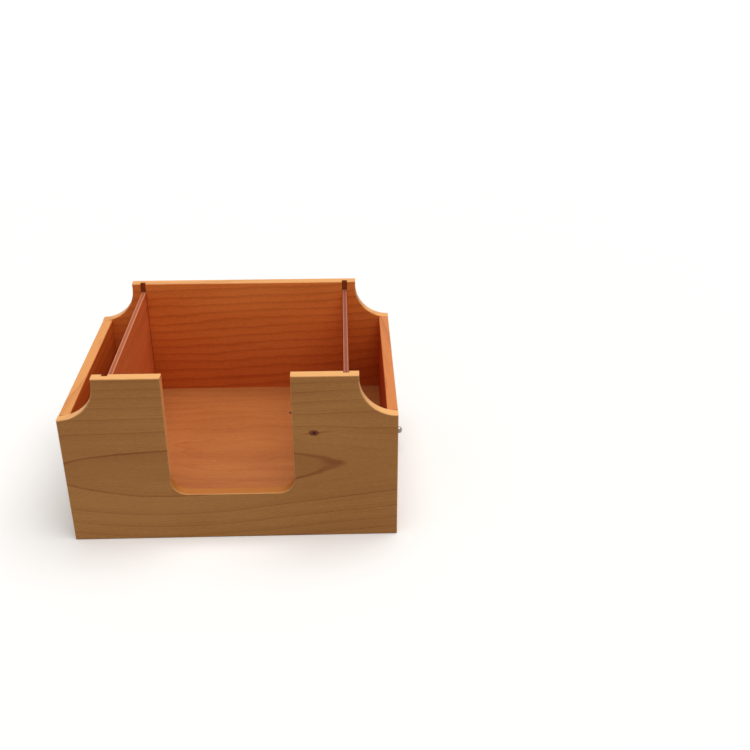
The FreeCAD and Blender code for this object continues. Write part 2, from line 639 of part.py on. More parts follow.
SCREW_LENGTH = add(BOARD, less(named("knob_hole_depth"), named("knob_hole_end_gap")))
HEAD_RADIUS = add(named("thread_radius"), named("screw_head_overhang"))
FLAT_OF_HEAD = 0.7
RIM_OF_HEAD = 0.5
knob_screw = new_body("knob_screw")
turned(knob_screw, "profile", [
    (minus(named("screw_head_height")), "0"),
    (minus(named("screw_head_height")), part_of(FLAT_OF_HEAD, HEAD_RADIUS)),
    (minus(part_of(RIM_OF_HEAD, named("screw_head_height"))), HEAD_RADIUS),
    ("0", HEAD_RADIUS),
    ("0", named("thread_radius")),
    (SCREW_LENGTH, named("thread_radius")),
    (SCREW_LENGTH, "0"),
])
driver_slot = new_sketch(knob_screw, "YZ", "slot_outline", minus(named("screw_head_height")))
half_driver_slot = half(named("screw_slot_width"))
rectangle(driver_slot, minus(HEAD_RADIUS), HEAD_RADIUS, minus(half_driver_slot), half_driver_slot)
pocket(knob_screw, driver_slot, "slot", named("screw_slot_depth"), backwards=True)
place(knob_screw, x=INNER_X, y=DRAWER_MIDDLE, z=KNOB_HEIGHT)

# Stop brad: driven down through the compartment floor with its head flush.
# It is turned round X like the screw and then stood on end, head up.
STOP_PIN_LENGTH = less(add(named("floor_thickness"), named("drawer_top_play"),
                           named("stop_pin_catch")), named("stop_pin_head_height"))
drawer_stop_pin = new_body("drawer_stop_pin")
turned(drawer_stop_pin, "profile", [
    (minus(named("stop_pin_head_height")), "0"),
    (minus(named("stop_pin_head_height")), named("stop_pin_head_radius")),
    ("0", named("stop_pin_head_radius")),
    ("0", named("stop_pin_radius")),
    (less(STOP_PIN_LENGTH, named("stop_pin_radius")), named("stop_pin_radius")),
    (STOP_PIN_LENGTH, "0"),
])
drawer_stop_pin.Placement.Rotation = FreeCAD.Rotation(FreeCAD.Vector(0, 1, 0), 90)
place(drawer_stop_pin, x=STOP_PIN_X, y=DRAWER_MIDDLE,
      z=less(FLOOR_TOP, named("stop_pin_head_height")))


# Groups of like pieces: every dowel, pin or brad is a solid of its own
def rod(name, radius, length, direction, x, y, z):
    piece = doc.addObject("Part::Cylinder", name)
    piece.setExpression("Radius", radius)
    piece.setExpression("Height", length)
    piece.Placement.Rotation = FreeCAD.Rotation(FreeCAD.Vector(0, 0, 1), direction)
    place(piece, x, y, z)
    return piece


def group(name, pieces):
    bundle = doc.addObject("Part::Compound", name)
    bundle.Label = name
    bundle.Links = pieces
    nodes.append(bundle)
    return bundle


TOWARDS_BACK = FreeCAD.Vector(0, 1, 0)
TOWARDS_FRONT = FreeCAD.Vector(0, -1, 0)
UPWARDS = FreeCAD.Vector(0, 0, 1)


# Corner dowels, three to a corner, bevelled at both ends
def corner_dowels(name, x, hand):
    panel_depth = less(BOARD, named("dowel_skin"), named("dowel_end_gap"))
    length = add(DOWEL_INTO_SIDE, panel_depth)
    start = less(INNER_Y, DOWEL_INTO_SIDE)
    direction = TOWARDS_BACK
    if hand < 0:
        start = minus(start)
        direction = TOWARDS_FRONT
    pieces = []
    for index, height in enumerate(DOWEL_HEIGHTS, start=1):
        dowel = rod("%s_rod_%d" % (name, index), named("dowel_radius"), length,
                    direction, x, start, height)
        doc.recompute()
        bevelled = doc.addObject("Part::Chamfer", "%s_%d" % (name, index))
        bevelled.Base = dowel
        size = number(named("dowel_chamfer"))
        rims = []
        for rim, edge in enumerate(dowel.Shape.Edges, start=1):
            if edge.isClosed():
                rims.append((rim, size, size))
        bevelled.Edges = rims
        pieces.append(bevelled)
    return group(name, pieces)


corner_dowels("front_left_dowels", minus(DOWEL_X), -1)
corner_dowels("front_right_dowels", DOWEL_X, -1)
corner_dowels("back_left_dowels", minus(DOWEL_X), 1)
corner_dowels("back_right_dowels", DOWEL_X, 1)

# Drawer corner pins, driven in from the outer faces of the drawer sides
corner_pins = []
front_face = less(DRAWER_MIDDLE, DRAWER_HALF)
rear_face = add(DRAWER_MIDDLE, DRAWER_HALF)
for face_y, direction in ((front_face, TOWARDS_BACK), (rear_face, TOWARDS_FRONT)):
    for pin_x in (BACK_PIN_X, FRONT_PIN_X):
        for height in CORNER_PIN_HEIGHTS:
            name = "corner_pin_%d" % (len(corner_pins) + 1)
            corner_pins.append(rod(name, named("pin_radius"), named("corner_pin_length"),
                                   direction, pin_x, face_y, height))
group("drawer_corner_pins", corner_pins)

# Drawer bottom brads, driven up from below
bottom_brads = []
for brad_x, brad_y in brad_places:
    name = "bottom_brad_%d" % (len(bottom_brads) + 1)
    bottom_brads.append(rod(name, named("pin_radius"), named("bottom_brad_length"),
                            UPWARDS, brad_x, add(DRAWER_MIDDLE, brad_y), BASE_TOP))
group("drawer_bottom_brads", bottom_brads)

doc.recompute()

# Every feature must have built, and every piece must be whole and sound
for item in doc.Objects:
    if "Invalid" in item.State or "Error" in item.State:
        raise ValueError(item.Name + " did not build: " + str(item.State))
for node in nodes:
    shape = node.Shape
    if shape.isNull() or not shape.isValid() or not shape.Solids:
        raise ValueError(node.Label + " is not a sound solid")
    if node.TypeId == "PartDesign::Body" and len(shape.Solids) != 1:
        raise ValueError(node.Label + " is in more than one piece")

for node in nodes:
    node.Shape.exportStep("parts/" + node.Label + ".step")
    box = node.Shape.BoundBox
    print("%-22s solids %d  x %7.2f %7.2f  y %7.2f %7.2f  z %6.2f %6.2f  volume %9.1f" % (
        node.Label, len(node.Shape.Solids), box.XMin, box.XMax, box.YMin, box.YMax,
        box.ZMin, box.ZMax, node.Shape.Volume))
print("nodes", len(nodes))
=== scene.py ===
# %% [markdown]
# # A wooden bar caddy with a drawer
# The boards, dividers, drawer and knob come from the CAD model, and their shapes stay as they
# are. This lesson gives them their looks: cherry-like boards with real growth rings, three-ply
# dividers, plain plywood, and a small nickel knob. Everything is in metres, with Z up and the
# front facing -Y.

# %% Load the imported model
import math
import bpy
from mathutils import Matrix, Vector


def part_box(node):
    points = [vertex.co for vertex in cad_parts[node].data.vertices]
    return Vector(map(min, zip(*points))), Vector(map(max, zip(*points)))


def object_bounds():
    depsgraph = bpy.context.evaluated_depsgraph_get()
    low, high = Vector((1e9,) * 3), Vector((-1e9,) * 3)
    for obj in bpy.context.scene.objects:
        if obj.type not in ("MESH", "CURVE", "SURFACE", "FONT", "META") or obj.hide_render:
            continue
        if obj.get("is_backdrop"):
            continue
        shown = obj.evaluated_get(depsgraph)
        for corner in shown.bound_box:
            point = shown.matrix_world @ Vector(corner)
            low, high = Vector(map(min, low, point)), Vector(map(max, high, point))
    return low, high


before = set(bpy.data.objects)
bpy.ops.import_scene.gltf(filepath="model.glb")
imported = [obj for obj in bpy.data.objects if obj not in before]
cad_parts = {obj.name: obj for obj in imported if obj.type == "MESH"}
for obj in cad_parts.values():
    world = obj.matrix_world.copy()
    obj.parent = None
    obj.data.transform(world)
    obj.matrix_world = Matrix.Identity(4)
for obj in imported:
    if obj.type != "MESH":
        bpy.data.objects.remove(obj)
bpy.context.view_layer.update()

# %% [markdown]
# ## The camera
# The photograph looks down at the caddy's front from a little to the right. Its corners in the
# picture fix the lens and the place of the camera. A camera could be aimed with a Track To
# constraint, but one built from its own three axes keeps the small roll of the picture as well.

# %% Camera
CAMERA_PLACE = Vector((0.0681707, -0.5870755, 0.3904997))
CAMERA_YAW = 0.0347
CAMERA_PITCH = -0.49363
CAMERA_ROLL = 0.00139
FOCAL_PIXELS = 1017.887
PHOTO_PIXELS = 750
SENSOR_MM = 36
NEAREST_SEEN = 0.01
FARTHEST_SEEN = 50


def camera_axes(yaw, pitch, roll):
    forward = Vector((math.sin(yaw) * math.cos(pitch),
                      math.cos(yaw) * math.cos(pitch),
                      math.sin(pitch)))
    level_right = Vector((math.cos(yaw), -math.sin(yaw), 0))
    level_up = level_right.cross(forward)
    right = math.cos(roll) * level_right + math.sin(roll) * level_up
    up = math.cos(roll) * level_up - math.sin(roll) * level_right
    return right, up, -forward


camera_data = bpy.data.cameras.new("photo_camera")
camera_data.sensor_width = SENSOR_MM
camera_data.lens = FOCAL_PIXELS / PHOTO_PIXELS * SENSOR_MM
camera_data.clip_start = NEAREST_SEEN
camera_data.clip_end = FARTHEST_SEEN
camera = bpy.data.objects.new("photo_camera", camera_data)
bpy.context.scene.collection.objects.link(camera)
camera_turn = Matrix(camera_axes(CAMERA_YAW, CAMERA_PITCH, CAMERA_ROLL)).transposed()
camera.matrix_world = Matrix.Translation(CAMERA_PLACE) @ camera_turn.to_4x4()
bpy.context.scene.camera = camera
print("lens", round(camera_data.lens, 2), "mm")

# %% [markdown]
# ## Small helpers for shader nodes
# Materials here are drawn by nodes, as formulas are written: each helper adds one node and hands
# back its output. A value may be a plain number or another node's output. Nodes could be placed
# by hand in the editor too, but a script makes the same ones each time.

# %% Node helpers: numbers
def feed(tree, node, name, value):
    if isinstance(value, bpy.types.NodeSocket):
        tree.links.new(value, node.inputs[name])
    else:
        node.inputs[name].default_value = value


def sum_up(tree, operation, *values):
    node = tree.nodes.new("ShaderNodeMath")
    node.operation = operation
    for index, value in enumerate(values):
        feed(tree, node, index, value)
    return node.outputs[0]


def ramp(tree, value, low, high, to_low=0.0, to_high=1.0, smooth=True):
    node = tree.nodes.new("ShaderNodeMapRange")
    node.interpolation_type = "SMOOTHSTEP" if smooth else "LINEAR"
    feed(tree, node, "Value", value)
    feed(tree, node, "From Min", low)
    feed(tree, node, "From Max", high)
    feed(tree, node, "To Min", to_low)
    feed(tree, node, "To Max", to_high)
    return node.outputs["Result"]


def fade(tree, value, low, high):
    # 1 up to low, and 0 from high on
    return ramp(tree, value, low, high, to_low=1.0, to_high=0.0)


print("helpers for numbers: feed, sum_up, ramp and fade")

# %% Node helpers: places and noise
def join(tree, x, y, z):
    node = tree.nodes.new("ShaderNodeCombineXYZ")
    for name, value in (("X", x), ("Y", y), ("Z", z)):
        feed(tree, node, name, value)
    return node.outputs[0]


def split(tree, vector):
    node = tree.nodes.new("ShaderNodeSeparateXYZ")
    feed(tree, node, "Vector", vector)
    return node.outputs


def cloud(tree, vector, scale=1.0, detail=2.0, roughness=0.5):
    node = tree.nodes.new("ShaderNodeTexNoise")
    feed(tree, node, "Vector", vector)
    feed(tree, node, "Scale", scale)
    feed(tree, node, "Detail", detail)
    feed(tree, node, "Roughness", roughness)
    return node.outputs["Fac"]


print("helpers for places: join, split and cloud")

# %% Node helpers: colours
# The Mix node has several sockets of one name, so its colour sockets go by number
MIX_FIRST, MIX_SECOND, MIX_RESULT = 6, 7, 2


def paint(red, green, blue):
    # A colour as read off a screen, 0 to 255, turned into the linear light that shaders use
    def linear(level):
        level = level / 255
        return level / 12.92 if level <= 0.04045 else ((level + 0.055) / 1.055) ** 2.4
    return linear(red), linear(green), linear(blue), 1.0


def blend_colours(tree, amount, first, second, kind="MIX"):
    node = tree.nodes.new("ShaderNodeMix")
    node.data_type = "RGBA"
    node.blend_type = kind
    feed(tree, node, "Factor", amount)
    feed(tree, node, MIX_FIRST, first)
    feed(tree, node, MIX_SECOND, second)
    return node.outputs[MIX_RESULT]


def cover(tree, colour, amount, by, most):
    # Lays another colour over this one
    return blend_colours(tree, sum_up(tree, "MULTIPLY", amount, most), colour, by)


def shade(tree, colour, amount, by, most):
    # Multiplies the colour by another one, as stain or dirt does
    return blend_colours(tree, sum_up(tree, "MULTIPLY", amount, most), colour, by, "MULTIPLY")


print("cherry reads", [round(v, 3) for v in paint(150, 105, 58)[:3]])

# %% Node helpers: groups
def new_group(name, inputs, outputs):
    tree = bpy.data.node_groups.new(name, "ShaderNodeTree")
    for label, kind, start in inputs:
        socket = tree.interface.new_socket(
            label, in_out="INPUT", socket_type="NodeSocket" + kind)
        if start is not None:
            socket.default_value = start
    for label in outputs:
        tree.interface.new_socket(label, in_out="OUTPUT", socket_type="NodeSocketFloat")
    return tree, tree.nodes.new("NodeGroupInput").outputs, tree.nodes.new("NodeGroupOutput").inputs


def place_group(tree, group, values):
    node = tree.nodes.new("ShaderNodeGroup")
    node.node_tree = group
    for label, value in values.items():
        feed(tree, node, label, value)
    return node.outputs


print("helpers for groups: new_group and place_group")

# %% [markdown]
# ## Growth rings
# A board is sawn from a trunk, so the lines on all its faces are cuts through one set of rings.
# They could be drawn on each face by hand, but one formula in space makes face, edge and end
# grain agree. The pith, the middle of the trunk, lies some way behind the board's face. Where it
# comes nearer the face, the rings close into the pointed arches of flat-sawn timber. The group
# measures the distance to that line and divides it by the ring width. A tree grows more slowly
# as it ages, which Crowding gives by packing the outer rings closer. Then the end of each ring is
# darkened, where late wood is dense. Line Start says how far into the ring a crisp line begins,
# and Softness turns it into a band that fades in earlier and more gently.

# %% Ring group: its sockets
rings, rings_in, rings_out = new_group("growth rings", [
    ("Position", "Vector", None),
    ("Pith Middle", "Float", 0.0),
    ("Pith Depth", "Float", 0.012),
    ("Pith Height", "Float", 0.046),
    ("Taper", "Float", 0.2),
    ("Tilt", "Float", 0.0),
    ("Sag", "Float", 0.4),
    ("Reach", "Float", 9.0),
    ("Ring Width", "Float", 0.0037),
    ("Crowding", "Float", 1.0),
    ("First Ring", "Float", 0.0),
    ("Wander", "Float", 0.001),
    ("Line Start", "Float", 0.90),
    ("Softness", "Float", 0.3),
    ("Push", "Float", 0.0),
    ("Seed", "Float", 0.0),
], ["Line", "Fine Line", "Late"])
print("growth rings take", len(rings.interface.items_tree), "sockets")

# %% Ring group: distance to the pith
along, across, through = split(rings, rings_in["Position"])
from_middle = sum_up(rings, "SUBTRACT", along, rings_in["Pith Middle"])
onward = sum_up(rings, "MAXIMUM", from_middle, 0.0)
onward = sum_up(rings, "DIVIDE", onward, rings_in["Reach"])
slowing = sum_up(rings, "SQRT", sum_up(rings, "MULTIPLY_ADD", onward, onward, 1.0))
run = sum_up(rings, "DIVIDE", from_middle, slowing)
run_squared = sum_up(rings, "MULTIPLY", run, run)
taper_squared = sum_up(rings, "MULTIPLY", rings_in["Taper"], rings_in["Taper"])
depth_squared = sum_up(rings, "MULTIPLY", rings_in["Pith Depth"], rings_in["Pith Depth"])
pith_depth = sum_up(rings, "MULTIPLY_ADD", run_squared, taper_squared, depth_squared)
pith_depth = sum_up(rings, "SQRT", pith_depth)
pith_height = sum_up(
    rings, "MULTIPLY_ADD", run_squared, rings_in["Sag"], rings_in["Pith Height"])
pith_height = sum_up(rings, "MULTIPLY_ADD", from_middle, rings_in["Tilt"], pith_height)
sideways = sum_up(rings, "SUBTRACT", across, pith_height)
inwards = sum_up(rings, "SUBTRACT", through, pith_depth)
radius = sum_up(rings, "MULTIPLY", inwards, inwards)
radius = sum_up(rings, "MULTIPLY_ADD", sideways, sideways, radius)
radius = sum_up(rings, "SQRT", radius)
print("ring distance:", len(rings.nodes), "nodes so far")

# %% Ring group: counting the rings
LEAST_RADIUS = 0.0001


def drift(tree, position, seed, along_scale, across_scale, detail, reach=1.0):
    # A slow wave from -reach to reach, drawn out along the grain
    x, y, z = split(tree, position)
    place = join(tree,
                 sum_up(tree, "MULTIPLY_ADD", x, along_scale, seed),
                 sum_up(tree, "MULTIPLY", y, across_scale),
                 sum_up(tree, "MULTIPLY", z, across_scale))
    return ramp(tree, cloud(tree, place, detail=detail), 0.25, 0.75, -reach, reach, smooth=False)


wide_drift = drift(rings, rings_in["Position"], rings_in["Seed"],
                   along_scale=11.0, across_scale=26.0, detail=3.0)
small_drift = drift(rings, rings_in["Position"], rings_in["Seed"],
                    along_scale=85.0, across_scale=190.0, detail=2.0, reach=0.22)
both_drifts = sum_up(rings, "ADD", wide_drift, small_drift)
pushed = sum_up(rings, "ADD", radius, rings_in["Push"])
drifted = sum_up(rings, "MULTIPLY_ADD", both_drifts, rings_in["Wander"], pushed)
drifted = sum_up(rings, "MAXIMUM", drifted, LEAST_RADIUS)
share = sum_up(rings, "DIVIDE", drifted, rings_in["Ring Width"])
share = sum_up(rings, "POWER", share, rings_in["Crowding"])
count = sum_up(rings, "SUBTRACT", share, rings_in["First Ring"])
print("ring count:", len(rings.nodes), "nodes so far")

# %% Ring group: dark late wood
# Where in a ring its line is darkest and where it begins to fade, if sharp and if soft
SHARP_LINE = (0.965, 0.97)
SOFT_LINE = (0.90, 0.88)
SOFT_LEAD = 0.40
STRONG_WEAKEST = 0.84
FINE_PER_RING = 4.0
FINE_START = 0.55
FINE_SOFTNESS = 0.3
FINE_SEED = 7.7
FINE_PATCH_SEED = 31.0


def line_profile(tree, within, opening, darkest, fading):
    # Light until the opening, dark from darkest to fading, and light again where the ring ends
    rise = ramp(tree, within, opening, darkest)
    return sum_up(tree, "MULTIPLY", rise, fade(tree, within, fading, 1.0))


def late_lines(tree, within, number, seed, opening, weakest, softness):
    # One line in each ring, darker or weaker by the ring's own chance
    chance = tree.nodes.new("ShaderNodeTexWhiteNoise")
    chance.noise_dimensions = "1D"
    feed(tree, chance, "W", sum_up(tree, "ADD", number, seed))
    strength = ramp(tree, chance.outputs["Value"], 0.0, 1.0, weakest, 1.0, smooth=False)
    sharp = line_profile(tree, within, opening, *SHARP_LINE)
    soft_opening = sum_up(tree, "SUBTRACT", opening, SOFT_LEAD)
    soft = line_profile(tree, within, soft_opening, *SOFT_LINE)
    softer = sum_up(tree, "SUBTRACT", soft, sharp)
    profile = sum_up(tree, "MULTIPLY_ADD", softer, softness, sharp)
    return sum_up(tree, "MULTIPLY", profile, strength)


within = sum_up(rings, "FRACT", count)
line = late_lines(rings, within, sum_up(rings, "FLOOR", count), rings_in["Seed"],
                  rings_in["Line Start"], STRONG_WEAKEST, rings_in["Softness"])
fine_count = sum_up(rings, "MULTIPLY", count, FINE_PER_RING)
fine_line = late_lines(rings, sum_up(rings, "FRACT", fine_count),
                       sum_up(rings, "FLOOR", fine_count),
                       sum_up(rings, "ADD", rings_in["Seed"], FINE_SEED),
                       FINE_START, 0.0, FINE_SOFTNESS)
patches = ramp(rings, wide_drift, -0.8, 0.8, to_low=0.7)
patch_seed = sum_up(rings, "ADD", rings_in["Seed"], FINE_PATCH_SEED)
fine_drift = drift(rings, rings_in["Position"], patch_seed,
                   along_scale=18.0, across_scale=90.0, detail=2.0)
fine_patches = ramp(rings, fine_drift, -0.4, 0.8)
rings.links.new(sum_up(rings, "MULTIPLY", line, patches), rings_out["Line"])
rings.links.new(sum_up(rings, "MULTIPLY", fine_line, fine_patches), rings_out["Fine Line"])
rings.links.new(ramp(rings, within, 0.55, 0.97), rings_out["Late"])
print("growth rings", len(rings.nodes), "nodes")

# %% [markdown]
# ## Fibres and pores
# Between the rings, wood is a bundle of fibres that run along the board. Noise drawn out thirty
# times along the grain gives streaks, a shorter one gives the fine flecks that lacquer brings
# out, and a sharper one gives the dark dashes of pores. All are faint, but a face without them
# looks like plastic.

# %% Fibre group
fibres, fibres_in, fibres_out = new_group("wood fibres", [
    ("Position", "Vector", None),
    ("Seed", "Float", 0.0),
], ["Streaks", "Flecks", "Pores", "End Pores", "Cloud"])
fibre_along, fibre_across, fibre_through = split(fibres, fibres_in["Position"])


def stretched(along_scale, across_scale):
    return join(fibres,
                sum_up(fibres, "MULTIPLY_ADD", fibre_along, along_scale, fibres_in["Seed"]),
                sum_up(fibres, "MULTIPLY_ADD", fibre_across, across_scale, fibres_in["Seed"]),
                sum_up(fibres, "MULTIPLY", fibre_through, across_scale))


streaks = cloud(fibres, stretched(36.0, 1100.0), detail=3.0, roughness=0.6)
broad = sum_up(fibres, "MULTIPLY", cloud(fibres, stretched(14.0, 260.0), detail=2.0), 0.4)
mixed = sum_up(fibres, "MULTIPLY_ADD", streaks, 0.6, broad)
flecks = cloud(fibres, stretched(330.0, 1250.0), detail=2.0)
dashes = cloud(fibres, stretched(260.0, 3600.0), detail=1.0)
dots = cloud(fibres, fibres_in["Position"], scale=2300.0, detail=1.0)
slow = cloud(fibres, stretched(7.0, 30.0), detail=3.0)
for label, noise, low, high in (("Streaks", mixed, 0.3, 0.7),
                                ("Flecks", flecks, 0.32, 0.68),
                                ("Pores", dashes, 0.66, 0.78),
                                ("End Pores", dots, 0.50, 0.68),
                                ("Cloud", slow, 0.3, 0.7)):
    fibres.links.new(ramp(fibres, noise, low, high), fibres_out[label])
print("wood fibres", len(fibres.nodes), "nodes")

# %% [markdown]
# ## Sanded edges
# The maker runs sandpaper along every edge, and hands go on rubbing it, so the stain is thinner
# there. The CAD model has these edges as small rounds. Their normals point neither through the
# board nor along its face, which is enough to find them. A bevel shader could find edges too, but
# it is slow and rounds what is round already.

# %% Sanded edge group
edges, edges_in, edges_out = new_group("sanded edge", [
    ("Through", "Float", 1.0),
    ("Position", "Vector", None),
], ["Arris", "Edge"])
facing = sum_up(edges, "ABSOLUTE", edges_in["Through"])
off_edge = ramp(edges, facing, 0.08, 0.35)
off_face = fade(edges, facing, 0.86, 0.985)
rubbing = cloud(edges, edges_in["Position"], scale=90.0, detail=3.0)
uneven = ramp(edges, rubbing, 0.35, 0.7, to_low=0.35)
arris = sum_up(edges, "MULTIPLY", sum_up(edges, "MULTIPLY", off_edge, off_face), uneven)
edges.links.new(arris, edges_out["Arris"])
edges.links.new(fade(edges, facing, 0.3, 0.8), edges_out["Edge"])
print("sanded edge", len(edges.nodes), "nodes")

# %% [markdown]
# ## The knot
# The front board has one small knot right of the cut-out, where a twig once grew. The rings bend
# round it, its core is nearly black, and a dark tail runs off along the grain. A disc painted on
# top would look stuck on, so the group also hands back how far it pushes the rings aside.

# %% Knot group: distances
RIPPLE = 0.0010
knot, knot_in, knot_out = new_group("small knot", [
    ("Position", "Vector", None),
    ("Along", "Float", 0.0),
    ("Across", "Float", 0.0),
    ("Size", "Float", 0.0022),
], ["Push", "Core", "Halo", "Tail"])
knot_along, knot_across, _ = split(knot, knot_in["Position"])
beside = sum_up(knot, "SUBTRACT", knot_along, knot_in["Along"])
above = sum_up(knot, "SUBTRACT", knot_across, knot_in["Across"])
beside_squared = sum_up(knot, "MULTIPLY", beside, beside)
ripple = cloud(knot, knot_in["Position"], scale=620.0)
ripple = sum_up(knot, "MULTIPLY_ADD", ripple, RIPPLE, -RIPPLE / 2)


def knot_span(flatness):
    # Distance from the knot's middle, drawn out along the grain where flatness is under 1
    drawn_out = sum_up(knot, "MULTIPLY", beside_squared, flatness)
    return sum_up(knot, "SQRT", sum_up(knot, "MULTIPLY_ADD", above, above, drawn_out))


def in_sizes(distance):
    return sum_up(knot, "DIVIDE", distance, knot_in["Size"])


print("small knot", len(knot.nodes), "nodes so far")

# %% Knot group: core, halo, tail and push
RING_PUSH = -0.0024
TAIL_TILT = -0.10
halo_span = in_sizes(sum_up(knot, "ADD", knot_span(0.45), ripple))
core_span = in_sizes(sum_up(knot, "ADD", knot_span(1.1), ripple))
bulge = fade(knot, in_sizes(knot_span(0.12)), 0.0, 5.5)
off_tail = sum_up(knot, "ABSOLUTE", sum_up(knot, "MULTIPLY_ADD", beside, TAIL_TILT, above))
tail_ends = sum_up(knot, "MULTIPLY", ramp(knot, beside, -0.009, -0.003),
                   fade(knot, beside, 0.004, 0.016))
tail = sum_up(knot, "MULTIPLY", fade(knot, off_tail, 0.0001, 0.0007), tail_ends)
knot.links.new(sum_up(knot, "MULTIPLY", bulge, RING_PUSH), knot_out["Push"])
knot.links.new(fade(knot, core_span, 0.36, 0.68), knot_out["Core"])
knot.links.new(fade(knot, halo_span, 0.72, 1.12), knot_out["Halo"])
knot.links.new(tail, knot_out["Tail"])
print("small knot", len(knot.nodes), "nodes")

# %% [markdown]
# ## A board's own directions
# Each board has its own length, width and thickness, whichever way it stands. This helper turns
# the place of a point into distances along the grain from the board's middle, across it from its
# lower edge, and through it from the face that matters. An unwrapped UV map could do the same for
# one face, but grain has to run on round the edges, and the object's own coordinates do that. The
# pattern then rides with the board when a drawer or divider moves.

# %% Board coordinates
AXES = {"X": 0, "Y": 1, "Z": 2}
# Each set of axes goes along the grain, across the board and through it
FRONT_AXES = ("X", "Z", "Y")
SIDE_AXES = ("Y", "Z", "X")
FLAT_AXES = ("X", "Y", "Z")


def board_position(tree, node_name, axes, outer):
    low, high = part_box(node_name)
    place = tree.nodes.new("ShaderNodeTexCoord")
    parts = split(tree, place.outputs["Object"])
    normal = split(tree, place.outputs["Normal"])
    a, c, t = (AXES[axis] for axis in axes)
    along_value = sum_up(tree, "SUBTRACT", parts[a], (low[a] + high[a]) / 2)
    across_value = sum_up(tree, "SUBTRACT", parts[c], low[c])
    if outer == "low":
        through_value = sum_up(tree, "SUBTRACT", parts[t], low[t])
    else:
        through_value = sum_up(tree, "SUBTRACT", high[t], parts[t])
    return join(tree, along_value, across_value, through_value), normal[t], normal[a]


front_low, front_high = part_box("front_panel")
print("front board", [round(v * 1000, 1) for v in front_high - front_low], "mm")

# %% Materials and their nodes
def new_material(name):
    material = bpy.data.materials.new(name)
    material.use_nodes = True
    tree = material.node_tree
    tree.nodes.clear()
    shader = tree.nodes.new("ShaderNodeBsdfPrincipled")
    output = tree.nodes.new("ShaderNodeOutputMaterial")
    tree.links.new(shader.outputs["BSDF"], output.inputs["Surface"])
    return material, tree, shader


def wear(node_name, material):
    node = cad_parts[node_name]
    node.data.materials.clear()
    node.data.materials.append(material)


def bump(tree, shader, height, distance, strength):
    node = tree.nodes.new("ShaderNodeBump")
    node.inputs["Distance"].default_value = distance
    node.inputs["Strength"].default_value = strength
    feed(tree, node, "Height", height)
    tree.links.new(node.outputs["Normal"], shader.inputs["Normal"])


print("nodes to dress:", len(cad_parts))

# %% [markdown]
# ## What all the woods share
# Boards, bare strips and plywood are drawn from the same fibres: a tone between a light and a dark
# colour, open pores where the grain ends, and pores that dip into the surface. Helpers could
# hide in one large material, but small ones let each wood set its own measure of each.

# %% Wood helpers
WOOD_SPECULAR = 0.22
LACQUER = 0.03
LACQUER_ROUGHNESS = 0.30
PORE_DIP = -0.8
PORE_SHADE = (0.62, 0.52, 0.45, 1.0)


def wood_tone(tree, fibre, cloudy, streaky, flecked):
    # 0 is the light colour and 1 the dark one
    tone = sum_up(tree, "MULTIPLY", fibre["Cloud"], cloudy)
    tone = sum_up(tree, "MULTIPLY_ADD", fibre["Streaks"], streaky, tone)
    return sum_up(tree, "MULTIPLY_ADD", fibre["Flecks"], flecked, tone)


def end_grain_colour(tree, colour, fibre, facing_along, by, most):
    # Darker where the fibres are cut across, with their open ends as dots
    end_grain = ramp(tree, sum_up(tree, "ABSOLUTE", facing_along), 0.6, 0.95)
    colour = cover(tree, colour, end_grain, by, most)
    open_ends = sum_up(tree, "MULTIPLY", end_grain, fibre["End Pores"])
    return shade(tree, colour, open_ends, PORE_SHADE, 0.8)


def pore_relief(tree, fibre, raised):
    # Fibres stand a little proud and pores dip in
    return sum_up(tree, "MULTIPLY_ADD", fibre["Pores"], PORE_DIP, raised)


def lacquer(shader, weight):
    shader.inputs["Coat Weight"].default_value = weight
    shader.inputs["Coat Roughness"].default_value = LACQUER_ROUGHNESS


print("lacquer weight", LACQUER, "roughness", LACQUER_ROUGHNESS)

# %% [markdown]
# ## The lacquered boards' colours
# The front, back and sides are solid boards with a thin satin lacquer. Outside they are a light
# olive brown. The inner faces are painted a warmer orange, as painted bounce light inside the box,
# and darker towards the bottom with painted shade. The sawn edges were sanded most and are
# lightest. They could be chosen by eye, but the eye is misled by what lies beside a colour, so
# they were matched to patches of the photograph. Colours are written as they look in plain white
# light, and each one whose name ends in SHADE is multiplied with the wood's own.

# %% Board colours
OUTER_EARLY = paint(204, 143, 79)
OUTER_DARK = paint(177, 117, 60)
# The inner faces' colours: a warmer orange of painted bounce light from inside the box
INNER_BOUNCE_EARLY = paint(245, 146, 68)
INNER_BOUNCE_DARK = paint(220, 112, 43)
EDGE_WOOD = paint(232, 173, 106)
RUBBED_WOOD = paint(230, 182, 122)
# The cut-out's sawn face: painted light, a lighter orange as light thrown back onto it
CUTOUT_PAINTED_LIGHT = paint(246, 160, 94)
KNOT_CORE = paint(62, 12, 6)
KNOT_HALO = paint(116, 52, 26)
LINE_SHADE = (0.64, 0.44, 0.35, 1.0)
FINE_SHADE = (0.82, 0.68, 0.60, 1.0)
# Painted shade in the divider slots
SLOT_PAINTED_SHADE = (0.36, 0.20, 0.16, 1.0)
# Painted shade at the bottom of the inner faces
DEEP_PAINTED_SHADE = (0.72, 0.57, 0.52, 1.0)
# Painted shade over the cut-out's foot
FOOT_PAINTED_SHADE = (0.35, 0.28, 0.06, 1.0)
# Painted shadow in the joints of the sides with the front and back
JOINT_PAINTED_SHADE = (0.62, 0.46, 0.32, 1.0)
# Heights above a board's lower edge between which painted shade deepens its inner face
DEEP_FROM = 0.035
DEEP_TO = 0.106
print("outer boards", [round(v, 2) for v in OUTER_EARLY[:3]],
      "inner", [round(v, 2) for v in INNER_BOUNCE_EARLY[:3]])

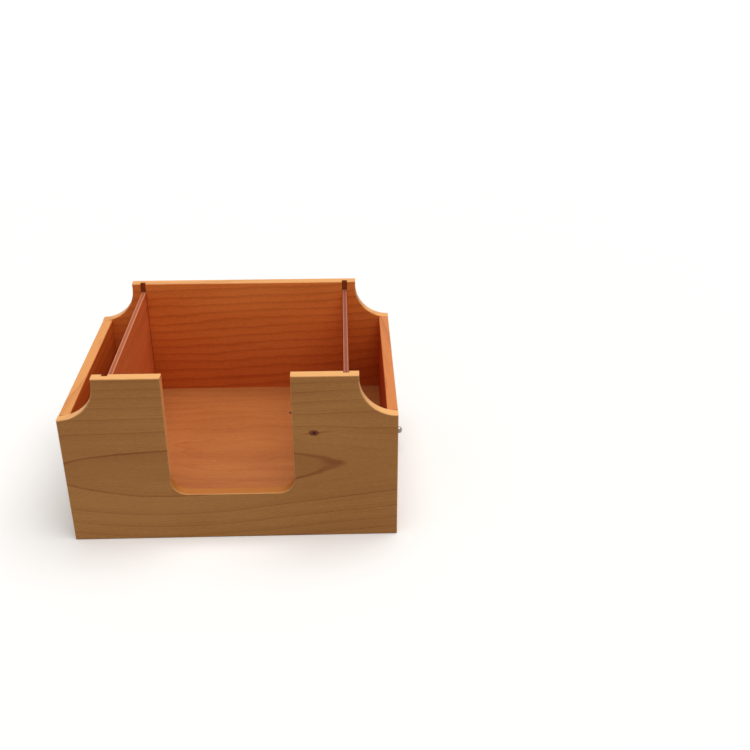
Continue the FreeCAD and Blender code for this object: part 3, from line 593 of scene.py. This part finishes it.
# %% [markdown]
# ## Painted shade and light in slots, joints and the cut-out
# The divider slots and the joints of the boards are darkened with painted shade, a line of shadow
# where the gaps are. The sawn face round the cut-out is painted a lighter orange, as light thrown
# back onto it, and its foot is darkened with painted shade. Ambient occlusion could find such
# places, but it changes with what stands near, so they are given by their distance from the
# board's middle and from its lower edge.

# %% Slot and joint masks
SLOT_FROM_MIDDLE = 0.0695
SLOT_HALF = (0.00166, 0.0020)
SLOT_FLOOR = 0.0040
SLOT_FADE = 0.0006
JOINT_WIDTH = (0.0006, 0.0001)


# Painted shade along the divider slots
def slot_painted_shade(tree, position):
    along, _, through = split(tree, position)
    from_middle = sum_up(tree, "ABSOLUTE", along)
    off_slot = sum_up(tree, "ABSOLUTE", sum_up(tree, "SUBTRACT", from_middle, SLOT_FROM_MIDDLE))
    near = fade(tree, off_slot, *SLOT_HALF)
    return sum_up(tree, "MULTIPLY", near, ramp(tree, through, SLOT_FLOOR - SLOT_FADE, SLOT_FLOOR))


# Painted shadow in the joint at a side board's ends
def joint_painted_shade(tree, position, half_length):
    along = sum_up(tree, "ABSOLUTE", split(tree, position)[0])
    return ramp(tree, along, half_length - JOINT_WIDTH[0], half_length - JOINT_WIDTH[1])


print("slots at", SLOT_FROM_MIDDLE * 1000, "mm from the middle")

# %% Cut-out masks
CUTOUT_HALF = 0.0385
CUTOUT_FOOT = 0.0325
CUTOUT_TOP = 0.1120
# Heights over the cut-out's foot where its painted shade is full and where it is gone
FOOT_SHADE_FULL = 0.004
FOOT_SHADE_GONE = 0.018


def cutout_rim(tree, position, edge):
    # The sawn face all round the cut-out
    along, across, _ = split(tree, position)
    between_sides = sum_up(tree, "LESS_THAN", sum_up(tree, "ABSOLUTE", along), CUTOUT_HALF)
    below_top = sum_up(tree, "LESS_THAN", across, CUTOUT_TOP)
    return sum_up(tree, "MULTIPLY", edge, sum_up(tree, "MULTIPLY", between_sides, below_top))


def foot_shade_mask(tree, position, rim):
    # Painted shade over the foot of the cut-out, strongest at the bottom
    across = split(tree, position)[1]
    low = fade(tree, across, CUTOUT_FOOT + FOOT_SHADE_FULL, CUTOUT_FOOT + FOOT_SHADE_GONE)
    return sum_up(tree, "MULTIPLY", rim, low)


print("cut-out", CUTOUT_HALF * 2000, "mm wide, foot at", CUTOUT_FOOT * 1000, "mm")

# %% [markdown]
# ## The lacquered boards
# Each board gets its own cut from the trunk, so no two show the same figure. The colour is built
# up from the wood's own tone, the sanded edges, the ring lines, the pores, the end grain, and last
# the tints and the painted shade and light of slots, joints and the cut-out. One long function
# could do it all, but shorter ones can be tried by themselves.

# %% Board colour
NO_TINT = (1.0, 1.0, 1.0, 1.0)


def log(**cut):
    # Where the pith runs behind a board, as the ring group's inputs
    return {label.replace("_", " "): value for label, value in cut.items()}


def board_colour(tree, fibre, ring, inner, across):
    tone = wood_tone(tree, fibre, cloudy=0.40, streaky=0.22, flecked=0.28)
    tone = sum_up(tree, "MULTIPLY_ADD", ring["Late"], 0.10, tone)
    # Painted shade: inner faces darker towards the bottom
    bottom_shade = fade(tree, across, DEEP_FROM, DEEP_TO)
    # Painted bounce light: the inner faces get a warmer orange than the outer ones
    bounce_lit = blend_colours(tree, tone, INNER_BOUNCE_EARLY, INNER_BOUNCE_DARK)
    bounce_lit = shade(tree, bounce_lit, bottom_shade, DEEP_PAINTED_SHADE, 1.0)
    outer_colour = blend_colours(tree, tone, OUTER_EARLY, OUTER_DARK)
    return blend_colours(tree, inner, outer_colour, bounce_lit)


def board_figure(tree, colour, fibre, ring, edge, facing_along, line_depth):
    colour = cover(tree, colour, edge["Edge"], EDGE_WOOD, 0.85)
    colour = shade(tree, colour, ring["Fine Line"], FINE_SHADE, 0.8)
    colour = shade(tree, colour, ring["Line"], LINE_SHADE, line_depth)
    colour = shade(tree, colour, fibre["Pores"], PORE_SHADE, 0.5)
    colour = end_grain_colour(tree, colour, fibre, facing_along, OUTER_DARK, 0.35)
    return cover(tree, colour, edge["Arris"], RUBBED_WOOD, 0.5)


def knot_colour(tree, colour, spot):
    colour = shade(tree, colour, spot["Tail"], LINE_SHADE, 0.8)
    colour = cover(tree, colour, spot["Halo"], KNOT_HALO, 0.88)
    return blend_colours(tree, spot["Core"], colour, KNOT_CORE)


print("inner faces deepen from", DEEP_TO * 1000, "mm down to", DEEP_FROM * 1000, "mm")

# %% Board surface
BOARD_ROUGHNESS = 0.44
BOARD_RELIEF = 0.00004


def board_surface(tree, shader, fibre, ring, edge):
    rough = sum_up(tree, "MULTIPLY_ADD", fibre["Streaks"], 0.10, BOARD_ROUGHNESS)
    rough = sum_up(tree, "MULTIPLY_ADD", ring["Line"], -0.06, rough)
    rough = sum_up(tree, "MULTIPLY_ADD", edge["Arris"], 0.08, rough)
    tree.links.new(rough, shader.inputs["Roughness"])
    shader.inputs["Specular IOR Level"].default_value = WOOD_SPECULAR
    lacquer(shader, LACQUER)
    relief = pore_relief(tree, fibre, sum_up(tree, "MULTIPLY", fibre["Streaks"], 0.3))
    relief = sum_up(tree, "MULTIPLY_ADD", fibre["Flecks"], 0.15, relief)
    relief = sum_up(tree, "MULTIPLY_ADD", ring["Line"], 0.25, relief)
    bump(tree, shader, relief, BOARD_RELIEF, 0.6)


print("board relief", round(BOARD_RELIEF * 1000, 3), "mm")

# %% Board material
def board_wood(node_name, axes, outer, seed, trunk, knot_at=None, painted_shading=None,
               inner_tint_and_shade=NO_TINT, edge_tint_and_shade=NO_TINT, line_depth=0.95):
    material, tree, shader = new_material(node_name + "_wood")
    position, facing_through, facing_along = board_position(tree, node_name, axes, outer)
    push = 0.0
    if knot_at is not None:
        spot = place_group(tree, knot, {"Position": position,
                                        "Along": knot_at[0], "Across": knot_at[1]})
        push = spot["Push"]
    ring = place_group(tree, rings, {"Position": position, "Push": push, "Seed": seed, **trunk})
    fibre = place_group(tree, fibres, {"Position": position, "Seed": seed})
    edge = place_group(tree, edges, {"Through": facing_through, "Position": position})
    inward = facing_through
    if outer == "high":
        inward = sum_up(tree, "MULTIPLY", facing_through, -1.0)
    inner = ramp(tree, inward, 0.45, 0.9)

    colour = board_colour(tree, fibre, ring, inner, split(tree, position)[1])
    colour = board_figure(tree, colour, fibre, ring, edge, facing_along, line_depth)
    if knot_at is not None:
        colour = knot_colour(tree, colour, spot)
    # Painted shade and light of slots, joints and the cut-out
    if painted_shading is not None:
        colour = painted_shading(tree, colour, position, edge["Edge"])
    # Tints: on the sides these are painted shade on inner faces and edges
    colour = shade(tree, colour, inner, inner_tint_and_shade, 1.0)
    colour = shade(tree, colour, edge["Edge"], edge_tint_and_shade, 1.0)
    tree.links.new(colour, shader.inputs["Base Color"])
    board_surface(tree, shader, fibre, ring, edge)
    wear(node_name, material)
    print(node_name, "wood,", len(tree.nodes), "nodes")


print("boards are drawn with:", ", ".join(group.name for group in bpy.data.node_groups))

# %% [markdown]
# ## The front and the back
# The front's pith is set so that the long arch on it starts at the left edge, passes under the
# cut-out and closes right of it. Trying values until it looks right would take all day, so the
# ones up to First Ring were fitted to the ring lines seen on the real board. The back is cut
# nearer the bark: its lines run nearly straight and fade softly.

# %% Front and back boards
KNOT_ALONG = 0.050
KNOT_ACROSS = 0.0748


# Painted light on the cut-out's sawn face, painted shade in the slots and over the cut-out's foot
def front_painted_light_and_shade(tree, colour, position, edge):
    rim = cutout_rim(tree, position, edge)
    # Painted light on the sawn face round the cut-out
    colour = cover(tree, colour, rim, CUTOUT_PAINTED_LIGHT, 0.85)
    colour = shade(tree, colour, slot_painted_shade(tree, position), SLOT_PAINTED_SHADE, 0.85)
    return shade(tree, colour, foot_shade_mask(tree, position, rim), FOOT_PAINTED_SHADE, 0.85)


# Painted shade in the back's slots
def back_painted_shade(tree, colour, position, edge):
    return shade(tree, colour, slot_painted_shade(tree, position), SLOT_PAINTED_SHADE, 0.85)


front_trunk = log(Pith_Middle=-0.0335, Pith_Depth=0.0125, Pith_Height=0.0477, Taper=0.2186,
                  Tilt=0.0156, Sag=0.683, Reach=0.120, Ring_Width=0.02417, Crowding=1.925,
                  First_Ring=-0.232, Wander=0.0007, Line_Start=0.925, Softness=0.16)
back_trunk = log(Pith_Middle=0.02, Pith_Depth=0.045, Pith_Height=-0.012, Taper=0.06, Tilt=0.05,
                 Sag=0.1, Ring_Width=0.0056, Wander=0.0024, Line_Start=0.84, Softness=0.95)
board_wood("front_panel", FRONT_AXES, "low", seed=3.0, trunk=front_trunk,
           knot_at=(KNOT_ALONG, KNOT_ACROSS), painted_shading=front_painted_light_and_shade)
board_wood("back_panel", FRONT_AXES, "high", seed=17.0, trunk=back_trunk, painted_shading=back_painted_shade,
           edge_tint_and_shade=(0.94, 0.87, 0.82, 1.0), line_depth=0.45)

# %% [markdown]
# ## The sides
# Both sides are flat-sawn too, with wider arches. The sides' inner faces and sawn edges are
# darker than the front's, tinted with painted shade, the right side's most, so each has a tint of
# its own.

# %% Side boards
SIDE_HALF = 0.0655


# Painted shadow in the joints at the sides' ends
def side_painted_shade(tree, colour, position, edge):
    return shade(tree, colour, joint_painted_shade(tree, position, SIDE_HALF), JOINT_PAINTED_SHADE, 0.8)


left_trunk = log(Pith_Middle=0.03, Pith_Depth=0.021, Pith_Height=0.034, Taper=0.16, Tilt=-0.03,
                 Sag=0.5, Ring_Width=0.0160, Crowding=1.5, Wander=0.0010, Softness=0.45)
right_trunk = log(Pith_Middle=-0.045, Pith_Depth=0.018, Pith_Height=0.058, Taper=0.17, Tilt=0.02,
                  Sag=-0.4, Ring_Width=0.0140, Crowding=1.4, Wander=0.0010, Softness=0.45)
board_wood("left_side", SIDE_AXES, "low", seed=29.0, trunk=left_trunk, painted_shading=side_painted_shade,
           inner_tint_and_shade=(0.92, 0.78, 0.66, 1.0), edge_tint_and_shade=(0.88, 0.74, 0.60, 1.0))
board_wood("right_side", SIDE_AXES, "high", seed=41.0, trunk=right_trunk, painted_shading=side_painted_shade,
           inner_tint_and_shade=(0.86, 0.64, 0.52, 1.0), edge_tint_and_shade=(0.78, 0.50, 0.36, 1.0))

# %% Drawer front and guides
drawer_trunk = log(Pith_Middle=0.01, Pith_Depth=0.016, Pith_Height=0.013, Taper=0.13, Tilt=0.03,
                   Sag=0.6, Ring_Width=0.0075, Crowding=1.3, Wander=0.0009)
guide_trunk = log(Pith_Depth=0.05, Pith_Height=0.04, Taper=0.05, Sag=0.1, Ring_Width=0.0042)
board_wood("drawer_front", SIDE_AXES, "high", seed=53.0, trunk=drawer_trunk)
board_wood("drawer_guide_front", FRONT_AXES, "low", seed=61.0, trunk=guide_trunk)
board_wood("drawer_guide_rear", FRONT_AXES, "low", seed=67.0, trunk=guide_trunk)

# %% [markdown]
# ## Bare drawer wood and dowels
# The drawer's sides and back are bare, sanded strips of a paler wood, without lacquer, and the
# corner dowels are the same. They could have groups of their own, but the boards' ring and fibre
# groups with narrower rings do, and only the colours and a drier surface are new.

# %% Drawer wood
BARE_LIGHT = paint(206, 168, 118)
BARE_DARK = paint(184, 141, 92)
BARE_LINE = paint(150, 104, 60)
BARE_ROUGHNESS = 0.58
BARE_RELIEF = 0.00005


def bare_wood(node_name, axes, outer, seed, trunk):
    material, tree, shader = new_material(node_name + "_wood")
    position, _, facing_along = board_position(tree, node_name, axes, outer)
    ring = place_group(tree, rings, {"Position": position, "Seed": seed, **trunk})
    fibre = place_group(tree, fibres, {"Position": position, "Seed": seed})
    tone = wood_tone(tree, fibre, cloudy=0.4, streaky=0.4, flecked=0.2)
    colour = blend_colours(tree, tone, BARE_LIGHT, BARE_DARK)
    colour = cover(tree, colour, ring["Fine Line"], BARE_LINE, 0.3)
    colour = cover(tree, colour, ring["Line"], BARE_LINE, 0.6)
    colour = cover(tree, colour, fibre["Pores"], BARE_LINE, 0.3)
    colour = end_grain_colour(tree, colour, fibre, facing_along, BARE_LINE, 0.4)
    tree.links.new(colour, shader.inputs["Base Color"])
    rough = sum_up(tree, "MULTIPLY_ADD", fibre["Streaks"], 0.14, BARE_ROUGHNESS)
    tree.links.new(rough, shader.inputs["Roughness"])
    shader.inputs["Specular IOR Level"].default_value = WOOD_SPECULAR
    bump(tree, shader, pore_relief(tree, fibre, fibre["Streaks"]), BARE_RELIEF, 0.7)
    wear(node_name, material)
    print(node_name, "bare wood")


strip_trunk = log(Pith_Middle=0.02, Pith_Depth=0.030, Pith_Height=0.006, Taper=0.08, Sag=0.1,
                  Ring_Width=0.0036, Wander=0.0008)
dowel_trunk = log(Pith_Depth=0.03, Pith_Height=0.01, Taper=0.0, Sag=0.0,
                  Ring_Width=0.0012, Wander=0.0002)
bare_wood("drawer_side_front", FRONT_AXES, "low", seed=71.0, trunk=strip_trunk)
bare_wood("drawer_side_rear", FRONT_AXES, "high", seed=73.0, trunk=strip_trunk)
bare_wood("drawer_back", SIDE_AXES, "low", seed=79.0, trunk=strip_trunk)
for index, corner in enumerate(("front_left", "front_right", "back_left", "back_right")):
    bare_wood(corner + "_dowels", SIDE_AXES, "low", seed=83.0 + 5 * index, trunk=dowel_trunk)

# %% [markdown]
# ## Plywood
# The base, the compartment floor and the drawer bottom are thin plywood. A veneer is peeled off a
# turning log like ribbon off a roll, so its rings come out as wide, wandering bands. The edge
# shows the plies: pale where the fibres run along it and dark where they are cut across, with a
# dark line of glue between them. Each ply could be a board of its own, but the sheet is one solid,
# so they are drawn by the distance from the middle of its thickness.

# %% Plies on the edge
PLY_LIGHT = paint(214, 150, 80)
PLY_DARK = paint(192, 124, 58)
PLY_CORE = paint(140, 82, 48)
PLY_WAVE = 0.00024
PLY_BLUR = 0.00006
GLUE_WIDTH = 0.00016


def ply_layers(tree, position, fibre, half, face_ply, edge_light, core_wood):
    # The plies lie through the thickness, counted from the middle of the core
    through = split(tree, position)[2]
    glue_at = half - face_ply
    wave = sum_up(tree, "MULTIPLY_ADD", cloud(tree, position, scale=170.0),
                  PLY_WAVE, -PLY_WAVE / 2)
    off_middle = sum_up(tree, "ABSOLUTE", sum_up(tree, "SUBTRACT", through, half))
    off_middle = sum_up(tree, "ADD", off_middle, wave)
    in_core = fade(tree, off_middle, glue_at - PLY_BLUR, glue_at + PLY_BLUR)
    specks = ramp(tree, cloud(tree, position, scale=2600.0, detail=2.0), 0.35, 0.65)
    core = shade(tree, core_wood, specks, PORE_SHADE, 0.35)
    skin = shade(tree, edge_light, fibre["Streaks"], PORE_SHADE, 0.25)
    layers = blend_colours(tree, in_core, skin, core)
    off_glue = sum_up(tree, "ABSOLUTE", sum_up(tree, "SUBTRACT", off_middle, glue_at))
    glue = sum_up(tree, "SUBTRACT", 1.0, ramp(tree, off_glue, 0.0, GLUE_WIDTH))
    return shade(tree, layers, glue, PORE_SHADE, 0.7)


print("plywood", [round(v, 2) for v in PLY_LIGHT[:3]], "core", [round(v, 2) for v in PLY_CORE[:3]])

# %% Plywood material
PLY_ROUGHNESS = 0.50
PLY_RELIEF = 0.00004
veneer_trunk = log(Pith_Middle=0.01, Pith_Depth=0.020, Pith_Height=0.05, Taper=0.30, Sag=0.8,
                   Ring_Width=0.0085, Wander=0.0045)


def plywood(node_name, axes, outer, seed, face_ply, colours, gloss=0.0):
    # face_ply is the thickness of each outer ply, and colours are light, dark, edge and core
    light, dark, edge_light, core_wood = colours
    material, tree, shader = new_material(node_name + "_plywood")
    position, facing_through, _ = board_position(tree, node_name, axes, outer)
    ring = place_group(tree, rings, {"Position": position, "Seed": seed, **veneer_trunk})
    fibre = place_group(tree, fibres, {"Position": position, "Seed": seed})
    edge = place_group(tree, edges, {"Through": facing_through, "Position": position})
    tone = wood_tone(tree, fibre, cloudy=0.4, streaky=0.35, flecked=0.25)
    colour = blend_colours(tree, tone, light, dark)
    colour = shade(tree, colour, ring["Fine Line"], FINE_SHADE, 0.5)
    colour = shade(tree, colour, ring["Line"], LINE_SHADE, 0.55)
    colour = shade(tree, colour, fibre["Pores"], PORE_SHADE, 0.5)

    low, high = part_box(node_name)
    t = AXES[axes[2]]
    half = (high[t] - low[t]) / 2
    layers = ply_layers(tree, position, fibre, half, face_ply, edge_light, core_wood)
    colour = blend_colours(tree, edge["Edge"], colour, layers)
    tree.links.new(colour, shader.inputs["Base Color"])
    smoothest = PLY_ROUGHNESS - 0.06 * gloss
    rough = sum_up(tree, "MULTIPLY_ADD", fibre["Streaks"], 0.12, smoothest)
    rough = sum_up(tree, "MULTIPLY_ADD", edge["Edge"], 0.12, rough)
    tree.links.new(rough, shader.inputs["Roughness"])
    shader.inputs["Specular IOR Level"].default_value = WOOD_SPECULAR
    lacquer(shader, LACQUER * gloss)
    relief = pore_relief(tree, fibre, sum_up(tree, "MULTIPLY", fibre["Streaks"], 0.5))
    bump(tree, shader, relief, PLY_RELIEF, 0.7)
    wear(node_name, material)
    core_mm = 2 * (half - face_ply) * 1000
    print(node_name, "plies", round(face_ply * 1000, 2), round(core_mm, 2), "mm")


print("veneer's rings:", veneer_trunk["Ring Width"] * 1000, "mm")

# %% Base, drawer bottom and compartment floor
# The compartment floor is darker than the base's plywood, as painted shade inside the box
FLOOR_LIGHT = paint(178, 110, 58)
FLOOR_DARK = paint(154, 88, 42)
plain_ply = (PLY_LIGHT, PLY_DARK, PLY_LIGHT, PLY_CORE)
shaded_floor_ply = (FLOOR_LIGHT, FLOOR_DARK, PLY_LIGHT, PLY_CORE)
plywood("base_panel", FLAT_AXES, "low", seed=97.0, face_ply=0.0009, colours=plain_ply)
plywood("drawer_bottom", FLAT_AXES, "high", seed=103.0, face_ply=0.0006, colours=plain_ply)
plywood("compartment_floor", FLAT_AXES, "high", seed=101.0, face_ply=0.0009,
        colours=shaded_floor_ply, gloss=1.0)

# %% [markdown]
# ## The dividers
# The dividers are 3 mm plywood too, with thin outer plies over a thick core. Their faces have the
# warm orange of the inside, and their top edges were left bare and have gone pinkish brown, the
# right one's darker than the left one's. The plywood material does for them as well, given these
# colours and a thinner ply.

# %% Dividers
DIVIDER_LIGHT = paint(222, 120, 64)
DIVIDER_DARK = paint(204, 100, 46)
DIVIDER_FACE_PLY = 0.0007
left_ply = (DIVIDER_LIGHT, DIVIDER_DARK, paint(204, 132, 98), paint(160, 86, 54))
right_ply = (DIVIDER_LIGHT, DIVIDER_DARK, paint(172, 106, 86), paint(140, 72, 50))
plywood("left_divider", SIDE_AXES, "low", seed=107.0, face_ply=DIVIDER_FACE_PLY,
        colours=left_ply, gloss=1.0)
plywood("right_divider", SIDE_AXES, "high", seed=109.0, face_ply=DIVIDER_FACE_PLY,
        colours=right_ply, gloss=1.0)

# %% [markdown]
# ## Metal
# The knob is turned brass with a nickel plate, handled every day, and dirt has gathered in the
# corner at its foot. The screw, the pins and the bottom brads are zinc-plated steel, duller and a
# little bluish, with patches where the plate has greyed. The stop brad's head lies in the open on
# the compartment floor and has lost its shine. All four share one group of smudges and fine
# scratches. A picture of real scratches could be wrapped round them, but noise needs no seams.

# %% Metal group
smudges, smudges_in, smudges_out = new_group("handled metal", [
    ("Position", "Vector", None),
    ("Scale", "Float", 300.0),
], ["Smudge", "Scratch"])
blots = cloud(smudges, smudges_in["Position"], scale=smudges_in["Scale"], detail=4.0)
sx, sy, sz = split(smudges, smudges_in["Position"])
thin = join(smudges,
            sum_up(smudges, "MULTIPLY", sx, 9000.0),
            sum_up(smudges, "MULTIPLY", sy, 500.0),
            sum_up(smudges, "MULTIPLY", sz, 500.0))
scratches = cloud(smudges, thin, detail=2.0)
smudges.links.new(ramp(smudges, blots, 0.35, 0.7), smudges_out["Smudge"])
smudges.links.new(ramp(smudges, scratches, 0.3, 0.7), smudges_out["Scratch"])
print("handled metal", len(smudges.nodes), "nodes")

# %% Plated metals
FOOT_GRIME = paint(74, 66, 56)
GRIME_REACH = (0.0008, 0.0030)
METAL_RELIEF = 0.00001


def plated(name, node_names, clean, dull, rough_low, rough_high, scale, foot_at=None):
    material, tree, shader = new_material(name)
    place = tree.nodes.new("ShaderNodeTexCoord").outputs["Object"]
    marks = place_group(tree, smudges, {"Position": place, "Scale": scale})
    colour = blend_colours(tree, marks["Smudge"], clean, dull)
    colour = cover(tree, colour, marks["Scratch"], dull, 0.15)
    rough = sum_up(tree, "MULTIPLY_ADD", marks["Smudge"], rough_high - rough_low, rough_low)
    rough = sum_up(tree, "MULTIPLY_ADD", marks["Scratch"], 0.06, rough)
    if foot_at is not None:
        # Polish and dirt gather in the corner between the knob's foot and its neck
        out = sum_up(tree, "SUBTRACT", split(tree, place)[0], foot_at)
        grime = ramp(tree, out, *GRIME_REACH, to_low=0.5, to_high=0.0)
        colour = blend_colours(tree, grime, colour, FOOT_GRIME)
        rough = sum_up(tree, "MULTIPLY_ADD", grime, 0.25, rough)
    tree.links.new(colour, shader.inputs["Base Color"])
    tree.links.new(rough, shader.inputs["Roughness"])
    shader.inputs["Metallic"].default_value = 1.0
    bump(tree, shader, marks["Scratch"], METAL_RELIEF, 0.5)
    for node_name in node_names:
        wear(node_name, material)
    print(name, "on", len(node_names), "nodes")


drawer_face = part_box("drawer_front")[1][0]
plated("nickel_plate", ["drawer_knob"],
       clean=paint(150, 148, 144), dull=paint(112, 109, 104),
       rough_low=0.22, rough_high=0.36, scale=420.0, foot_at=drawer_face)
plated("zinc_steel", ["knob_screw", "drawer_corner_pins", "drawer_bottom_brads"],
       clean=paint(150, 152, 155), dull=paint(112, 114, 117),
       rough_low=0.34, rough_high=0.55, scale=700.0)
plated("greyed_brad", ["drawer_stop_pin"],
       clean=paint(98, 94, 90), dull=paint(70, 66, 62),
       rough_low=0.42, rough_high=0.60, scale=900.0)

# %% [markdown]
# ## Floor and light
# The photograph's light falls from above: the tops of the boards are bright and the front is in
# soft shade. A lamp would light the floor in a round patch, so one wide sun overhead and a weak
# one in front give that light evenly, with a grey world for the rest. The floor is pale only
# where it is seen, straight or in a mirror, so that it doesn't throw more light on the front than
# the photograph shows, and it keeps the caddy's shadow.

# %% Studio floor
FLOOR_HALF = 6.0
FLOOR_UNSEEN = (0.22, 0.22, 0.22, 1)
FLOOR_SEEN = (0.86, 0.86, 0.86, 1)
FLOOR_ROUGHNESS = 0.9


def seen_directly(tree):
    # 1 for rays that show a thing to the camera, 0 for those that only carry its light
    ray = tree.nodes.new("ShaderNodeLightPath").outputs
    mirrored = sum_up(tree, "MAXIMUM", ray["Is Glossy Ray"], ray["Is Transmission Ray"])
    return sum_up(tree, "MAXIMUM", ray["Is Camera Ray"], mirrored)


mesh = bpy.data.meshes.new("studio_floor")
corners = [(-FLOOR_HALF, -FLOOR_HALF, 0), (FLOOR_HALF, -FLOOR_HALF, 0),
           (FLOOR_HALF, FLOOR_HALF, 0), (-FLOOR_HALF, FLOOR_HALF, 0)]
mesh.from_pydata(corners, [], [(0, 1, 2, 3)])
floor = bpy.data.objects.new("studio_floor", mesh)
bpy.context.scene.collection.objects.link(floor)
floor_material, tree, shader = new_material("studio_floor_paper")
floor_colour = blend_colours(tree, seen_directly(tree), FLOOR_UNSEEN, FLOOR_SEEN)
tree.links.new(floor_colour, shader.inputs["Base Color"])
shader.inputs["Roughness"].default_value = FLOOR_ROUGHNESS
floor.data.materials.append(floor_material)
floor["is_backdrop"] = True
print("floor", 2 * FLOOR_HALF, "m square")

# %% Studio light
WORLD_LEVEL = 0.24
WORLD_SEEN = 1.0

world = bpy.data.worlds.new("studio_world")
bpy.context.scene.world = world
world.use_nodes = True
tree = world.node_tree
tree.nodes.clear()
sky = tree.nodes.new("ShaderNodeBackground")
sky.inputs["Color"].default_value = (1, 1, 1, 1)
sky_strength = ramp(tree, seen_directly(tree), 0.0, 1.0, WORLD_LEVEL, WORLD_SEEN, smooth=False)
feed(tree, sky, "Strength", sky_strength)
ground = tree.nodes.new("ShaderNodeOutputWorld")
tree.links.new(sky.outputs["Background"], ground.inputs["Surface"])


def soft_sun(name, direction, width_degrees, strength, colour=(1, 1, 1)):
    data = bpy.data.lights.new(name, "SUN")
    data.angle = math.radians(width_degrees)
    data.energy = strength
    data.color = colour
    lamp = bpy.data.objects.new(name, data)
    lamp.rotation_euler = Vector(direction).to_track_quat("-Z", "Y").to_euler()
    bpy.context.scene.collection.objects.link(lamp)


soft_sun("overhead_light", direction=(-0.20, 0.06, -1.0), width_degrees=60, strength=3.0,
         colour=(1.0, 0.98, 0.95))
soft_sun("front_left_fill", direction=(0.9, 1.2, -0.35), width_degrees=50, strength=0.22)
bpy.context.scene.view_settings.view_transform = "Standard"
print("lamps", len(bpy.data.lights))

# %% [markdown]
# ## Sizes and the end
# The looks mustn't change how large the caddy is, so the size of its box is printed at the end.

# %% Finish
low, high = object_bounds()
print("visual box", [round(v, 4) for v in high - low])
